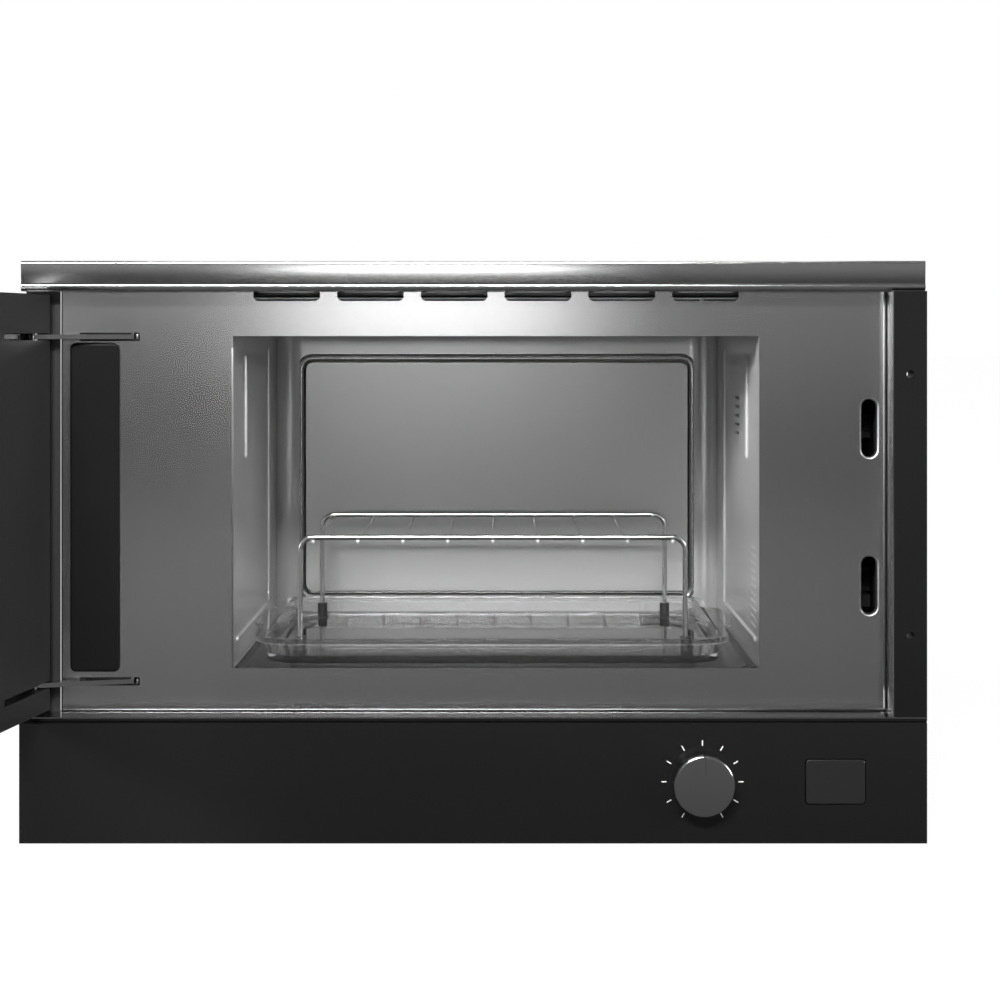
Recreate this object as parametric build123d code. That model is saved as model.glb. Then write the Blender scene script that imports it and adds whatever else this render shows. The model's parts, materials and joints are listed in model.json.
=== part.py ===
from build123d import *
import math
import os

# Built-in microwave with a left-hinged door, in millimetres.
# X runs to the right, Y runs back into the furniture niche, Z runs up.
# The origin is at the bottom of the front, in the plane of the stainless front plate.
# The door is drawn closed and then turned to its open rest pose.

# Whole front
front_width = 594.0
front_height = 382.0
front_depth = 21.3
plate_inset = 22.5
sheet = 1.0
fold_radius = 1.5
fold_drop = 15.0
return_depth = 20.0
flange_step = 2.0
ledge_height = 83.1
ledge_thickness = 0.8
bar_height = 20.0
bar_depth = 17.0
bar_rounding = 7.0
plate_tuck = 4.0

# Cavity
cavity_left_margin = 114.5
cavity_right_margin = 84.5
cavity_top_margin = 29.5
cavity_bottom_margin = 28.4
cavity_back_margin = 27.0
cavity_corner = 20.0
bead_width = 7.2
bead_depth = 3.0
bead_margin = 14.4
bead_corner = 13.0
bead_bottom_margin = 8.6
rib_radius = 2.6
rib_height = 1.5
rib_long_inset = 72.0
rib_short_y = 65.0
rib_top_drop = 11.0
rib_foot_rise = 17.0
rib_front = 20.0
rib_short_rise = 27.0
slit_count = 5
slit_pitch = 6.4
slit_width = 2.2
slit_length = 24.0
slit_y = 121.0
slit_drop = 70.5
air_hole_radius = 1.3
air_hole_pitch = 5.3
air_hole_rows = 11
air_hole_columns = 5
air_hole_y = 18.5
air_hole_rise = 25.0
grill_slot_count = 9
grill_slot_pitch = 23.0
grill_slot_width = 8.0
grill_slot_length = 64.0

# Openings in the front plate
vent_count = 6
vent_gap = 11.1
vent_side_gap = 13.45
vent_height = 8.2
vent_show = 6.2
vent_rounding = 4.0
latch_slot_width = 13.0
latch_slot_height = 41.0
latch_slot_inset = 11.3
latch_drop = 3.1
latch_spacing = 104.5
hinge_slot_length = 40.0
hinge_slot_height = 5.6
hinge_slot_rounding = 1.0
hinge_slot_inset = 52.6
upper_leaf_drop = 0.5
lower_leaf_drop = 8.6
cover_inset = 39.4
cover_width = 33.0
cover_thickness = 2.6
cover_corner = 4.0
cover_rounding = 2.0
cover_low_gap = 5.0
cover_high_gap = 2.4

# Body behind the plate
body_depth = 297.0
body_drop = 24.0
foot_height = 8.0
foot_radius = 10.0
foot_rounding = 1.5
foot_inset = 26.0
pan_lip = 16.0
screw_head_radius = 4.0
screw_head_height = 2.4
screw_inset = 12.0
screw_slot = 1.0
roof_slot_count = 10
roof_slot_pitch = 24.0
roof_slot_width = 8.0
roof_slot_length = 60.0
roof_slot_inset = 60.0
duct_rise = 8.0
duct_sheet = 1.2
duct_margin = 14.0
duct_back_gap = 20.0
duct_floor_length = 150.0
side_slot_count = 8
side_slot_pitch = 9.0
side_slot_width = 4.0
side_slot_height = 50.0
side_slot_inset = 90.0
side_slot_rise = 60.0
pan_slot_count = 12
pan_slot_pitch = 12.0
pan_slot_width = 4.0
pan_slot_length = 70.0
rear_slot_count = 6
rear_slot_pitch = 10.0
rear_slot_length = 60.0
rear_slot_width = 4.0
contact_pitch = 7.0
contact_width = 6.0
contact_thickness = 2.0
grille_pitch = 6.0
grille_slot = 3.2
inlet_inset = 73.5
inlet_z = 70.0
inlet_width = 28.0
inlet_height = 20.0
inlet_flange = 4.0
inlet_body = 18.0
inlet_wall = 3.5

# Floor, antenna and microwave source
floor_thickness = 4.0
floor_drop = 0.5
seal_width = 6.0
seal_shelf = 7.0
seal_drop = 0.4
pan_gap = 5.5
well_radius = 75.0
well_depth = 12.0
antenna_radius = 58.0
antenna_shaft_radius = 3.0
antenna_thickness = 1.2
antenna_rise = 6.6
antenna_slot_length = 44.0
antenna_slot_width = 9.0
motor_rounding = 6.0
motor_step = 4.0
shaft_seat = 8.0
guide_hole_radius = 12.0
guide_depth = 80.0
guide_height = 32.0
motor_size = 50.0
motor_height = 18.0
magnetron_width = 62.0
magnetron_height = 76.0
yoke_thickness = 2.0
anode_radius = 19.0
dome_radius = 10.0
dome_length = 20.0
filter_box_width = 52.0
filter_box_depth = 40.0
filter_box_height = 18.0
fin_count = 9
fin_thickness = 1.0
fin_margin = 10.0

# Cooling fan
fan_size = 78.0
fan_depth = 28.0
fan_bore_radius = 35.0
fan_corner = 5.0
fan_wheel_radius = 33.5
fan_height = 140.0
blade_count = 7
blade_turn = 28.0
blade_thickness = 2.0
fan_hub_radius = 13.0
fan_wheel_depth = 16.0
fan_wheel_inset = 5.0
fan_shaft_radius = 2.5
fan_motor_radius = 15.0
fan_motor_length = 18.0
fan_arm = 4.0
duct_wall = 1.4

# Boards, lamp and grill
inverter_reach = 85.0
inverter_width = 140.0
inverter_back_gap = 82.0
inverter_depth = 125.0
inverter_rise = 12.0
stand_off_radius = 4.0
sink_width = 42.0
sink_height = 30.0
sink_fin = 2.0
sink_count = 7
coil_radius = 20.0
capacitor_radius = 9.0
filter_inset = 33.5
filter_width = 80.0
filter_depth = 50.0
filter_rise = 8.0
lamp_length = 40.0
lamp_depth = 46.0
lamp_height = 50.0
lamp_wall = 2.0
lamp_radius = 10.0
lamp_neck = 7.0
grill_length = 236.0
grill_depth = 84.0
grill_height = 20.0
tube_radius = 5.0
tube_offset = 18.0
tube_rise = 9.0
cutout_radius = 8.0
cutout_height = 5.0
grill_end_length = 8.0
grill_end_size = 14.0

# Door
door_gap = 1.5
glass_thickness = 4.0
door_back_gap = 4.0
window_margin = 10.0
window_corner = 10.0
frame_rounding = 2.0
glass_edge = 0.6
choke_gap = 2.0
choke_reach = 3.0
choke_width = 9.0
choke_corner = 6.0
screen_thickness = 0.6
screen_inset = 3.0
hinge_pin_radius = 2.5
hinge_pin_length = 24.0
hinge_pin_inset = 8.0
hinge_pin_forward = 13.0
leaf_thickness = 3.0
leaf_boss_radius = 4.0
leaf_depth = 14.0
leaf_end_gap = 4.0
leaf_play = 0.8
anchor_reach = 11.0
pocket_gap = 3.0
pin_end_gap = 0.4
open_angle = 100.0
side_strip = 1.6
niche_screw_inset = 25.0
niche_screw_radius = 2.6

# Latch and release
hook_width = 6.0
hook_height = 14.0
hook_reach = 20.0
hook_gap = 1.0
hook_nose = 6.0
hook_notch = 4.0
latch_travel = 4.0
latch_bar_width = 10.0
spring_radius = 3.2
spring_wire = 0.45
spring_turns = 7
spring_length = 16.0
latch_inset = 2.4
latch_bar_depth = 7.0
bracket_wall = 2.4
bracket_depth = 62.0
bracket_reach = 34.0
switch_width = 7.0
switch_height = 16.0
switch_front = 34.0
switch_back = 54.0
plunger = 2.5
button_width = 40.0
button_height = 30.0
button_middle = 41.0
button_inset = 60.0
button_depth = 8.0
button_proud = 1.0
button_corner = 3.0
button_rounding = 0.8
stem_gap = 4.0
arm_depth = 8.0
wedge_width = 8.0
rod_y = 24.0
rod_width = 6.0
rod_gap = 8.0
wedge_half = 6.0
rod_top_gap = 1.0
finger_reach = 10.0
finger_height = 8.0

# Controls
housing_wall = 2.5
housing_foot = 12.0
housing_foot_inset = 40.0
boss_inset = 6.0
glass_foot = 0.6
glass_drop = 1.7
glass_bevel = 1.8
knob_radius = 20.0
knob_height = 14.0
knob_place = 150.0
knob_shaft_radius = 3.0
knob_rounding = 1.6
pointer_depth = 0.8
encoder_size = 24.0
encoder_back = -8.0
display_width = 124.0
display_height = 40.0
board_thickness = 1.6
board_width = 260.0
board_low = 14.0
board_high = 68.0
board_y = -10.0
chip_width = 22.0
chip_height = 18.0
chip_thickness = 2.6

# Tray and rack
tray_side_gap = 13.0
tray_back_gap = 35.0
tray_height = 17.5
tray_wall = 3.6
tray_slope = 7.0
tray_corner = 30.0
tray_front_gap = 15.0
accessory_shift = -2.4
handle_width = 90.0
handle_reach = 6.5
handle_corner = 16.0
handle_thickness = 3.0
rack_side_inset = 27.3
rack_back_inset = 16.6
rack_height = 82.5
rack_front_gap = 50.0
rack_wire = 3.6
rack_bend = 9.0
cross_wire = 2.0
cross_count = 9
cross_side_gap = 10.5
cross_overhang = 2.0
sleeve_radius = 3.7
sleeve_height = 10.5
sleeve_sole = 2.0

# Clearances
running = 0.05
slide_gap = 0.3
end_flat = 0.1
button_gap = 0.5
seat_gap = 0.3
ledge_gap = 0.4

# Places worked out from the sizes above
half_front = front_width / 2
half_plate = half_front - plate_inset
half_body = half_plate - sheet
bar_bottom = front_height - bar_height
plate_top = bar_bottom + plate_tuck
body_height = front_height - body_drop
cavity_left = -half_plate + cavity_left_margin
cavity_right = half_plate - cavity_right_margin
cavity_width = cavity_right - cavity_left
cavity_shift = (cavity_left + cavity_right) / 2
cavity_bottom = ledge_height + cavity_bottom_margin
cavity_top = bar_bottom - cavity_top_margin
cavity_height = cavity_top - cavity_bottom
cavity_middle = (cavity_bottom + cavity_top) / 2
cavity_depth = body_depth - cavity_back_margin
vent_span = cavity_width - 2 * vent_side_gap
vent_pitch = (vent_span + vent_gap) / vent_count
vent_width = vent_pitch - vent_gap
floor_top = cavity_bottom - floor_drop
pan_top = cavity_bottom - pan_gap
well_floor = pan_top - sheet - well_depth
well_y = cavity_depth / 2
glass_back = -front_depth + glass_thickness
door_back = -door_back_gap
door_low = ledge_height + door_gap + ledge_gap
door_high = bar_bottom - door_gap
flange_right = half_plate + ledge_thickness
door_right = half_plate - door_gap
upper_leaf = cavity_top - upper_leaf_drop
lower_leaf = cavity_bottom - lower_leaf_drop
pin_x = -half_front + hinge_pin_inset
pin_y = -hinge_pin_forward
leaf_right = -half_plate + hinge_slot_inset - leaf_end_gap
latch_x = half_plate - latch_slot_inset
latch_z = cavity_middle - latch_drop
latch_heights = [latch_z - latch_spacing / 2, latch_z + latch_spacing / 2]
latch_back = door_back - latch_inset
latch_low = latch_heights[0] - hook_height
latch_high = latch_heights[1] + hook_height
guide_top = well_floor - sheet
guide_bottom = guide_top - guide_height
antenna_top = well_floor + antenna_rise
motor_top = guide_bottom
magnetron_x = (cavity_right + half_body) / 2
fan_x = magnetron_x
roof = cavity_top + sheet
lamp_z = cavity_top - slit_drop + slit_pitch * (slit_count - 1) / 2
niche_screw_x = (flange_right + half_front) / 2
niche_screw_heights = [cavity_bottom + niche_screw_inset, cavity_top - niche_screw_inset]
housing_top = ledge_height - ledge_thickness
button_x = half_front - button_inset
rod_x = latch_x
rod_face = rod_y - rod_gap
inlet_x = -half_body + inlet_inset
inverter_right = cavity_left + inverter_reach
inverter_front = body_depth - inverter_back_gap - inverter_depth
filter_left = -half_body + filter_inset
side_slot_z = fan_height + side_slot_rise
tray_x = cavity_shift + accessory_shift
tray_width = cavity_width - 2 * tray_side_gap
tray_depth = cavity_depth - tray_front_gap - tray_back_gap
tray_y = tray_front_gap + tray_depth / 2
tray_floor = floor_top + tray_wall
rack_width = tray_width - 2 * rack_side_inset
rack_front = rack_front_gap
rack_back = tray_front_gap + tray_depth - rack_back_inset
cross_pitch = (rack_width - 2 * cross_side_gap) / (cross_count - 1)
rack_bar = floor_top + rack_height
leg_spread = rack_width / 2 - rack_wire / 2


def block(x0, x1, y0, y1, z0, z1):
    """A rectangular block between two corners."""
    middle = Pos((x0 + x1) / 2, (y0 + y1) / 2, (z0 + z1) / 2)
    return middle * Box(x1 - x0, y1 - y0, z1 - z0)


def rounded_outline(width, height, radius):
    """A rectangle, with rounded corners where a radius is given."""
    if radius > 0:
        return RectangleRounded(width, height, radius)
    return Rectangle(width, height)


def plate_y(x, z, width, height, y0, y1, radius=0.0):
    """A plate that faces the front, from y0 back to y1."""
    outline = Plane.XZ * rounded_outline(width, height, radius)
    return Pos(x, y1, z) * extrude(outline, amount=y1 - y0)


def plate_z(x, y, width, depth, z0, z1, radius=0.0):
    """A level plate from z0 up to z1."""
    outline = rounded_outline(width, depth, radius)
    return Pos(x, y, z0) * extrude(outline, amount=z1 - z0)


def plate_x(y, z, depth, height, x0, x1, radius=0.0):
    """A plate that faces sideways, from x0 to x1."""
    outline = Plane.YZ * rounded_outline(depth, height, radius)
    return Pos(x0, y, z) * extrude(outline, amount=x1 - x0)


def post_z(x, y, radius, z0, z1):
    """An upright round post."""
    return Pos(x, y, (z0 + z1) / 2) * Cylinder(radius, z1 - z0)


def post_y(x, z, radius, y0, y1):
    """A round post that points forwards."""
    return Pos(x, (y0 + y1) / 2, z) * Rot(90, 0, 0) * Cylinder(radius, y1 - y0)


def post_x(y, z, radius, x0, x1):
    """A round post that points sideways."""
    return Pos((x0 + x1) / 2, y, z) * Rot(0, 90, 0) * Cylinder(radius, x1 - x0)


def wire_along(points, bend, radius):
    """A round wire along straight runs with rounded bends."""
    path = FilletPolyline(*points, radius=bend)
    section = Plane(origin=path @ 0, z_dir=path % 0) * Circle(radius)
    return sweep(section, path)


def opened(shape):
    """The closed door's piece, turned about the hinge pins to the open rest pose."""
    return Pos(pin_x, pin_y, 0) * Rot(0, 0, -open_angle) * Pos(-pin_x, -pin_y, 0) * shape


def cavity_space(grow, y0, z0, z1):
    """The inside of the cavity, with rounded back corners, grown by a sheet if asked."""
    long = 2 * cavity_depth
    space = plate_z(cavity_shift, cavity_depth - long / 2 + grow / 2, cavity_width + 2 * grow,
                    long + grow, z0, z1, cavity_corner + grow)
    front = block(-front_width, front_width, -2 * long, y0, z0 - sheet, z1 + sheet)
    return space - front


def wall_rib(wall_x, y, z_low, z_high, y_front, z_floor):
    """A pressed rib on a side wall that turns forwards above the floor, or stays upright."""
    side = 1 if wall_x < cavity_shift else -1
    x = wall_x - side * (rib_radius - rib_height)
    if y_front is None:
        bar = post_z(x, y, rib_radius, z_low, z_high)
        ends = Pos(x, y, z_low) * Sphere(rib_radius) + Pos(x, y, z_high) * Sphere(rib_radius)
        return bar + ends
    points = [(x, y, z_high), (x, y, z_floor), (x, y_front, z_floor)]
    bend = 4 * rib_radius
    ends = Pos(x, y, z_high) * Sphere(rib_radius) + Pos(x, y_front, z_floor) * Sphere(rib_radius)
    return wire_along(points, bend, rib_radius) + ends


def cavity_ribs():
    """Long and short ribs on both side walls, kept to the inside of the sheet."""
    long_y = cavity_depth - rib_long_inset
    long_top = cavity_top - rib_top_drop
    foot_z = floor_top + rib_foot_rise
    short_low = cavity_middle + rib_short_rise
    short_top = long_top - 1.5 * rib_radius
    ribs = []
    for wall in (cavity_left, cavity_right):
        ribs.append(wall_rib(wall, long_y, foot_z, long_top, rib_front, foot_z))
        ribs.append(wall_rib(wall, rib_short_y, short_low, short_top, None, None))
    inside = cavity_space(sheet / 2, sheet, floor_top, cavity_top)
    return [rib & inside for rib in ribs]


def back_bead():
    """The pressed rounded rectangle on the back wall: its ridge behind and its groove in front."""
    outer_width = cavity_width - 2 * bead_margin
    outer_height = cavity_height - bead_margin - bead_bottom_margin
    z = cavity_top - bead_margin - outer_height / 2
    inner_radius = bead_corner - bead_width
    inner_width = outer_width - 2 * bead_width
    inner_height = outer_height - 2 * bead_width
    y0 = cavity_depth - seat_gap
    y1 = cavity_depth + bead_depth
    groove = plate_y(cavity_shift, z, outer_width, outer_height, y0, y1, bead_corner)
    groove -= plate_y(cavity_shift, z, inner_width, inner_height, y0, y1, inner_radius)
    ridge = plate_y(cavity_shift, z, outer_width + 2 * sheet, outer_height + 2 * sheet,
                    cavity_depth, y1 + sheet, bead_corner + sheet)
    ridge -= plate_y(cavity_shift, z, inner_width - 2 * sheet, inner_height - 2 * sheet,
                     cavity_depth, y1 + sheet, inner_radius - sheet)
    return ridge, groove


def wall_holes():
    """Lamp slits, air perforations and grill slots in the cavity sheet."""
    holes = []
    x0 = cavity_right - sheet
    x1 = cavity_right + 2 * sheet
    for i in range(slit_count):
        z = cavity_top - slit_drop + i * slit_pitch
        holes.append(plate_x(slit_y, z, slit_length, slit_width, x0, x1, slit_width / 2 - end_flat))
    for row in range(air_hole_rows):
        for column in range(air_hole_columns):
            y = air_hole_y + column * air_hole_pitch
            z = cavity_bottom + air_hole_rise + row * air_hole_pitch
            holes.append(post_x(y, z, air_hole_radius, x0, x1))
    for i in range(grill_slot_count):
        x = cavity_shift + (i - (grill_slot_count - 1) / 2) * grill_slot_pitch
        holes.append(plate_z(x, well_y, grill_slot_width, grill_slot_length, cavity_top - sheet,
                             cavity_top + 2 * sheet, grill_slot_width / 2 - end_flat))
    return holes


def cavity_shell():
    """The sheet steel cavity with its beads, ribs, holes and the round well of the antenna."""
    shell = cavity_space(sheet, sheet, pan_top - sheet, cavity_top + sheet)
    shell += post_z(cavity_shift, well_y, well_radius + sheet, well_floor - sheet, pan_top)
    shell -= cavity_space(0, 0, pan_top, cavity_top)
    shell -= post_z(cavity_shift, well_y, well_radius, well_floor, pan_top + sheet)
    shell -= post_z(cavity_shift, well_y, guide_hole_radius, well_floor - 2 * sheet, well_floor + sheet)
    ridge, groove = back_bead()
    shell += ridge
    shell -= groove
    shell -= wall_holes()
    shell += cavity_ribs()
    return shell


def front_plate():
    """The stainless front plate with folded edges and all its openings."""
    low = ledge_height
    outer = block(-half_plate, half_plate, 0, return_depth, low, plate_top)
    folds = outer.edges().filter_by(Axis.Z).group_by(Axis.Y)[0]
    folds += outer.edges().filter_by(Axis.X).group_by(Axis.Y)[0].sort_by(Axis.Z)[0:1]
    outer = fillet(folds, fold_radius)
    inner = block(-half_plate + sheet, half_plate - sheet, sheet, return_depth + 1,
                  low + sheet, plate_top + 1)
    folds = inner.edges().filter_by(Axis.Z).group_by(Axis.Y)[0]
    folds += inner.edges().filter_by(Axis.X).group_by(Axis.Y)[0].sort_by(Axis.Z)[0:1]
    inner = fillet(folds, fold_radius - sheet)
    plate = outer - inner
    y0, y1 = -1, 2 * sheet
    plate -= plate_y(cavity_shift, cavity_middle, cavity_width, cavity_height, y0, y1)
    for i in range(vent_count):
        x = cavity_shift + (i - (vent_count - 1) / 2) * vent_pitch
        z = bar_bottom - vent_show + vent_height / 2
        plate -= plate_y(x, z, vent_width, vent_height, y0, y1, vent_rounding)
    for z in latch_heights:
        plate -= plate_y(latch_x, z, latch_slot_width, latch_slot_height, y0, y1,
                         latch_slot_width / 2 - end_flat)
    for z in (upper_leaf, lower_leaf):
        x = -half_plate + hinge_slot_inset - hinge_slot_length / 2
        plate -= plate_y(x, z, hinge_slot_length, hinge_slot_height, y0, y1, hinge_slot_rounding)
    shorten = block(-front_width, front_width, 2 * sheet, return_depth + flange_step,
                    body_height - fold_drop, front_height)
    return plate - shorten


def hinge_cover():
    """The black rounded panel on the hinge side, between the two hinge arms."""
    low = lower_leaf + leaf_thickness / 2 + cover_low_gap
    high = upper_leaf - leaf_thickness / 2 - cover_high_gap
    x = -half_plate + cover_inset - cover_width / 2
    panel = plate_y(x, (low + high) / 2, cover_width, high - low, -cover_thickness, 0, cover_corner)
    rim = panel.faces().sort_by(Axis.Y)[0].edges()
    return fillet(rim, cover_rounding)


def top_trim_bar():
    """The rounded stainless bar across the top of the front, with its fixing lip on the plate."""
    z = (bar_bottom + front_height) / 2
    bar = plate_x(-bar_depth / 2, z, bar_depth, bar_height, -half_front, half_front, bar_rounding)
    back = block(-half_front, half_front, -bar_rounding, 0, bar_bottom, front_height)
    return bar + back


def side_cheek():
    """The black cheek right of the plate, with two holes for the niche screws."""
    cheek = block(flange_right, half_front, -front_depth, 0, ledge_height, bar_bottom)
    for z in niche_screw_heights:
        cheek -= post_y(niche_screw_x, z, niche_screw_radius, -front_depth - 1, 1)
    return cheek


def side_strip_left():
    """The thin black strip left of the plate, behind the swinging end of the door."""
    strip = block(-half_front, -half_plate, -side_strip, 0, ledge_height, bar_bottom)
    for z in niche_screw_heights:
        strip -= post_y(-niche_screw_x, z, niche_screw_radius, -side_strip - 1, 1)
    return strip


def side_flange():
    """The steel flange that stands between the plate and the right cheek."""
    return block(half_plate, flange_right, -front_depth, return_depth + flange_step, ledge_height,
                 bar_bottom)


def panel_ledge():
    """The steel ledge that covers the top of the control panel and runs under the plate."""
    front = block(-half_front, half_front, -front_depth, 0, housing_top, ledge_height)
    back = block(-flange_right, flange_right, 0, return_depth + flange_step, housing_top, ledge_height)
    return front + back


def outer_casing():
    """The U-shaped cover over the top and both sides."""
    low = foot_height
    casing = block(-half_body, half_body, sheet, body_depth - sheet, low, body_height)
    casing -= block(-half_body + sheet, half_body - sheet, 0, body_depth, 0, body_height - sheet)
    for side in (-1, 1):
        x0, x1 = sorted((side * (half_body - fold_radius), side * half_plate))
        casing -= block(x0, x1, 0, fold_radius, 0, front_height)
        casing -= block(x0, x1, 0, return_depth + flange_step, housing_top, ledge_height + sheet)
    y = body_depth - roof_slot_length
    for i in range(roof_slot_count):
        x = -half_body + roof_slot_inset + i * roof_slot_pitch
        casing -= plate_z(x, y, roof_slot_width, roof_slot_length, body_height - 2 * sheet, front_height,
                          roof_slot_width / 2 - end_flat)
    for i in range(side_slot_count):
        y = body_depth - side_slot_inset + i * side_slot_pitch
        casing -= plate_x(y, side_slot_z, side_slot_width, side_slot_height, half_body - 2 * sheet,
                          half_plate, side_slot_width / 2 - end_flat)
    return casing


def exhaust_duct():
    """The flat black duct on the casing that leads warm air from the roof slots to the front vents."""
    left = -half_body + roof_slot_inset - duct_margin
    right = cavity_shift + vent_span / 2 + duct_margin
    y1 = body_depth - duct_back_gap
    high = body_height + duct_rise
    duct = block(left, right, sheet, y1, body_height, high)
    duct -= block(left + duct_sheet, right - duct_sheet, 0, y1 - duct_sheet, body_height - 1,
                  high - duct_sheet)
    duct += block(left, right, sheet, duct_floor_length, body_height, body_height + duct_sheet)
    return duct


def base_pan():
    """The pressed base with its lips, the front cross member and air slots."""
    half = half_body - sheet
    low = foot_height
    pan = block(-half, half, sheet, body_depth - sheet, low, low + pan_lip)
    pan -= block(-half + sheet, half - sheet, 2 * sheet, body_depth - 2 * sheet, low + sheet,
                 body_height)
    pan += block(-half, half, 0, sheet, low, housing_top)
    y = body_depth - pan_slot_length
    for i in range(pan_slot_count):
        x = inverter_right - inverter_width + i * pan_slot_pitch
        pan -= plate_z(x, y, pan_slot_width, pan_slot_length, 0, low + 2 * sheet,
                       pan_slot_width / 2 - end_flat)
    reach = 2 * wedge_half
    pan -= block(button_x - reach, button_x + reach, -sheet, 2 * sheet, button_middle - reach,
                 button_middle + reach)
    return pan


def rear_panel():
    """The rear sheet with the fan grille and the mains inlet opening."""
    half = half_body - sheet
    panel = block(-half, half, body_depth - sheet, body_depth, foot_height, body_height - sheet)
    y0 = body_depth - 2 * sheet
    y1 = body_depth + sheet
    for i in range(-5, 6):
        drop = i * grille_pitch
        reach = math.sqrt((fan_bore_radius - 2 * sheet) ** 2 - drop ** 2)
        panel -= plate_y(fan_x, fan_height + drop, 2 * reach, grille_slot, y0, y1,
                         grille_slot / 2 - end_flat)
    panel -= plate_y(inlet_x, inlet_z, inlet_width, inlet_height, y0, y1)
    for i in range(rear_slot_count):
        z = cavity_middle + i * rear_slot_pitch
        panel -= plate_y(cavity_left, z, rear_slot_length, rear_slot_width, y0, y1,
                         rear_slot_width / 2 - end_flat)
    return panel


def support_feet():
    """Four rubber feet under the base pan."""
    feet = []
    for side in (-1, 1):
        for y in (foot_inset, body_depth - foot_inset):
            foot = post_z(side * (half_body - foot_inset), y, foot_radius, 0, foot_height)
            feet.append(fillet(foot.edges().group_by(Axis.Z)[0], foot_rounding))
    return Compound(children=feet)


def casing_screws():
    """Screw heads that hold the casing to the rear panel."""
    screws = []
    outer = half_body - screw_inset
    top = body_depth + screw_head_height
    for x in (-outer, -outer / 3, outer / 3, outer):
        for z in (foot_height + screw_inset, body_height - screw_inset):
            head = post_y(x, z, screw_head_radius, body_depth, top)
            head -= block(x - screw_head_radius / 2, x + screw_head_radius / 2, top - screw_slot, top + 1,
                          z - screw_slot / 2, z + screw_slot / 2)
            screws.append(head)
    return Compound(children=screws)


def floor_outline(grow, z0, z1):
    """The outline of the glass-ceramic floor, grown outwards where asked."""
    width = cavity_width - 2 * seal_width + 2 * grow
    depth = cavity_depth - 2 * seal_width + 2 * grow
    radius = cavity_corner - seal_width + grow
    return plate_z(cavity_shift, well_y, width, depth, z0, z1, radius)


def floor_plate():
    """The flat glass-ceramic cavity floor."""
    return floor_outline(0, floor_top - floor_thickness, floor_top)


def floor_seal():
    """The dark silicone seal that carries the floor plate and closes its edge."""
    edge = seal_width - slide_gap
    seal = floor_outline(edge, pan_top, floor_top - seal_drop)
    seal -= floor_outline(0, floor_top - floor_thickness, floor_top)
    seal -= floor_outline(-seal_shelf, pan_top - sheet, floor_top)
    seal -= block(-front_width, front_width, -front_depth, sheet + slide_gap, pan_top - sheet, floor_top)
    return seal


def stirrer_antenna():
    """The flat antenna that turns in the well under the floor, on its long shaft."""
    low = antenna_top - antenna_thickness
    high = antenna_top + antenna_thickness
    disc = post_z(0, 0, antenna_radius, low, antenna_top)
    slot = plate_z(0, antenna_radius * 0.6, antenna_slot_length, antenna_slot_width, low - 1, high,
                   antenna_slot_width / 2 - end_flat)
    for angle in range(0, 360, 120):
        disc -= Rot(0, 0, angle) * slot
    notch = antenna_radius * 0.43
    disc -= block(-antenna_radius, -notch, -antenna_radius, -notch, low - 1, high)
    hub = post_z(0, 0, 2 * antenna_shaft_radius, low - 2 * antenna_thickness, antenna_top)
    shaft = post_z(0, 0, antenna_shaft_radius, motor_top - shaft_seat, antenna_top)
    return Pos(cavity_shift, well_y, 0) * (disc + hub + shaft)


def stirrer_motor():
    """The small gear motor under the waveguide that turns the antenna."""
    low = motor_top - motor_height
    body = plate_z(cavity_shift, well_y, motor_size, motor_size, low, motor_top, motor_rounding)
    body += post_z(cavity_shift, well_y, motor_size / 2 - motor_step, low - motor_step, motor_top)
    body -= post_z(cavity_shift, well_y, antenna_shaft_radius + running, motor_top - shaft_seat - 1,
                   motor_top + 1)
    return body


def waveguide():
    """The rectangular duct from the magnetron to the middle of the well."""
    left = cavity_shift - guide_depth / 2
    right = half_body - sheet - seat_gap
    y0 = well_y - guide_depth / 2
    y1 = well_y + guide_depth / 2
    duct = block(left, right, y0, y1, guide_bottom, guide_top)
    duct -= block(left + sheet, right - sheet, y0 + sheet, y1 - sheet, guide_bottom + sheet,
                  guide_top - sheet)
    duct -= post_z(cavity_shift, well_y, guide_hole_radius, guide_top - 2 * sheet, guide_top + sheet)
    duct -= post_z(cavity_shift, well_y, 2 * antenna_shaft_radius, guide_bottom - sheet,
                   guide_bottom + 2 * sheet)
    duct -= post_z(magnetron_x, well_y, dome_radius + 4 * sheet, guide_top - 2 * sheet, guide_top + sheet)
    return duct


def magnetron():
    """The magnetron: its yoke, anode, antenna dome and filter box."""
    half = magnetron_width / 2
    low = guide_top
    high = low + magnetron_height
    y0 = well_y - half
    y1 = well_y + half
    body = block(magnetron_x - half, magnetron_x + half, y0, y1, low, high)
    inner = half - yoke_thickness
    body -= block(magnetron_x - inner, magnetron_x + inner, y0 - 1, y1 + 1, low + yoke_thickness,
                  high - yoke_thickness)
    body += post_z(magnetron_x, well_y, anode_radius, low, high)
    body += post_z(magnetron_x, well_y, dome_radius, low - dome_length, low)
    body += plate_z(magnetron_x, well_y, filter_box_width, filter_box_depth, high, high + filter_box_height)
    return body


def magnetron_fins():
    """The aluminium cooling fins round the anode."""
    width = magnetron_width - 2 * yoke_thickness
    pitch = (magnetron_height - 2 * fin_margin) / (fin_count - 1)
    fins = []
    for i in range(fin_count):
        z = guide_top + fin_margin + i * pitch
        fin = plate_z(magnetron_x, well_y, width, width - fin_margin / 2, z, z + fin_thickness)
        fins.append(fin - post_z(magnetron_x, well_y, anode_radius, z - 1, z + fin_thickness + 1))
    return Compound(children=fins)


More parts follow.
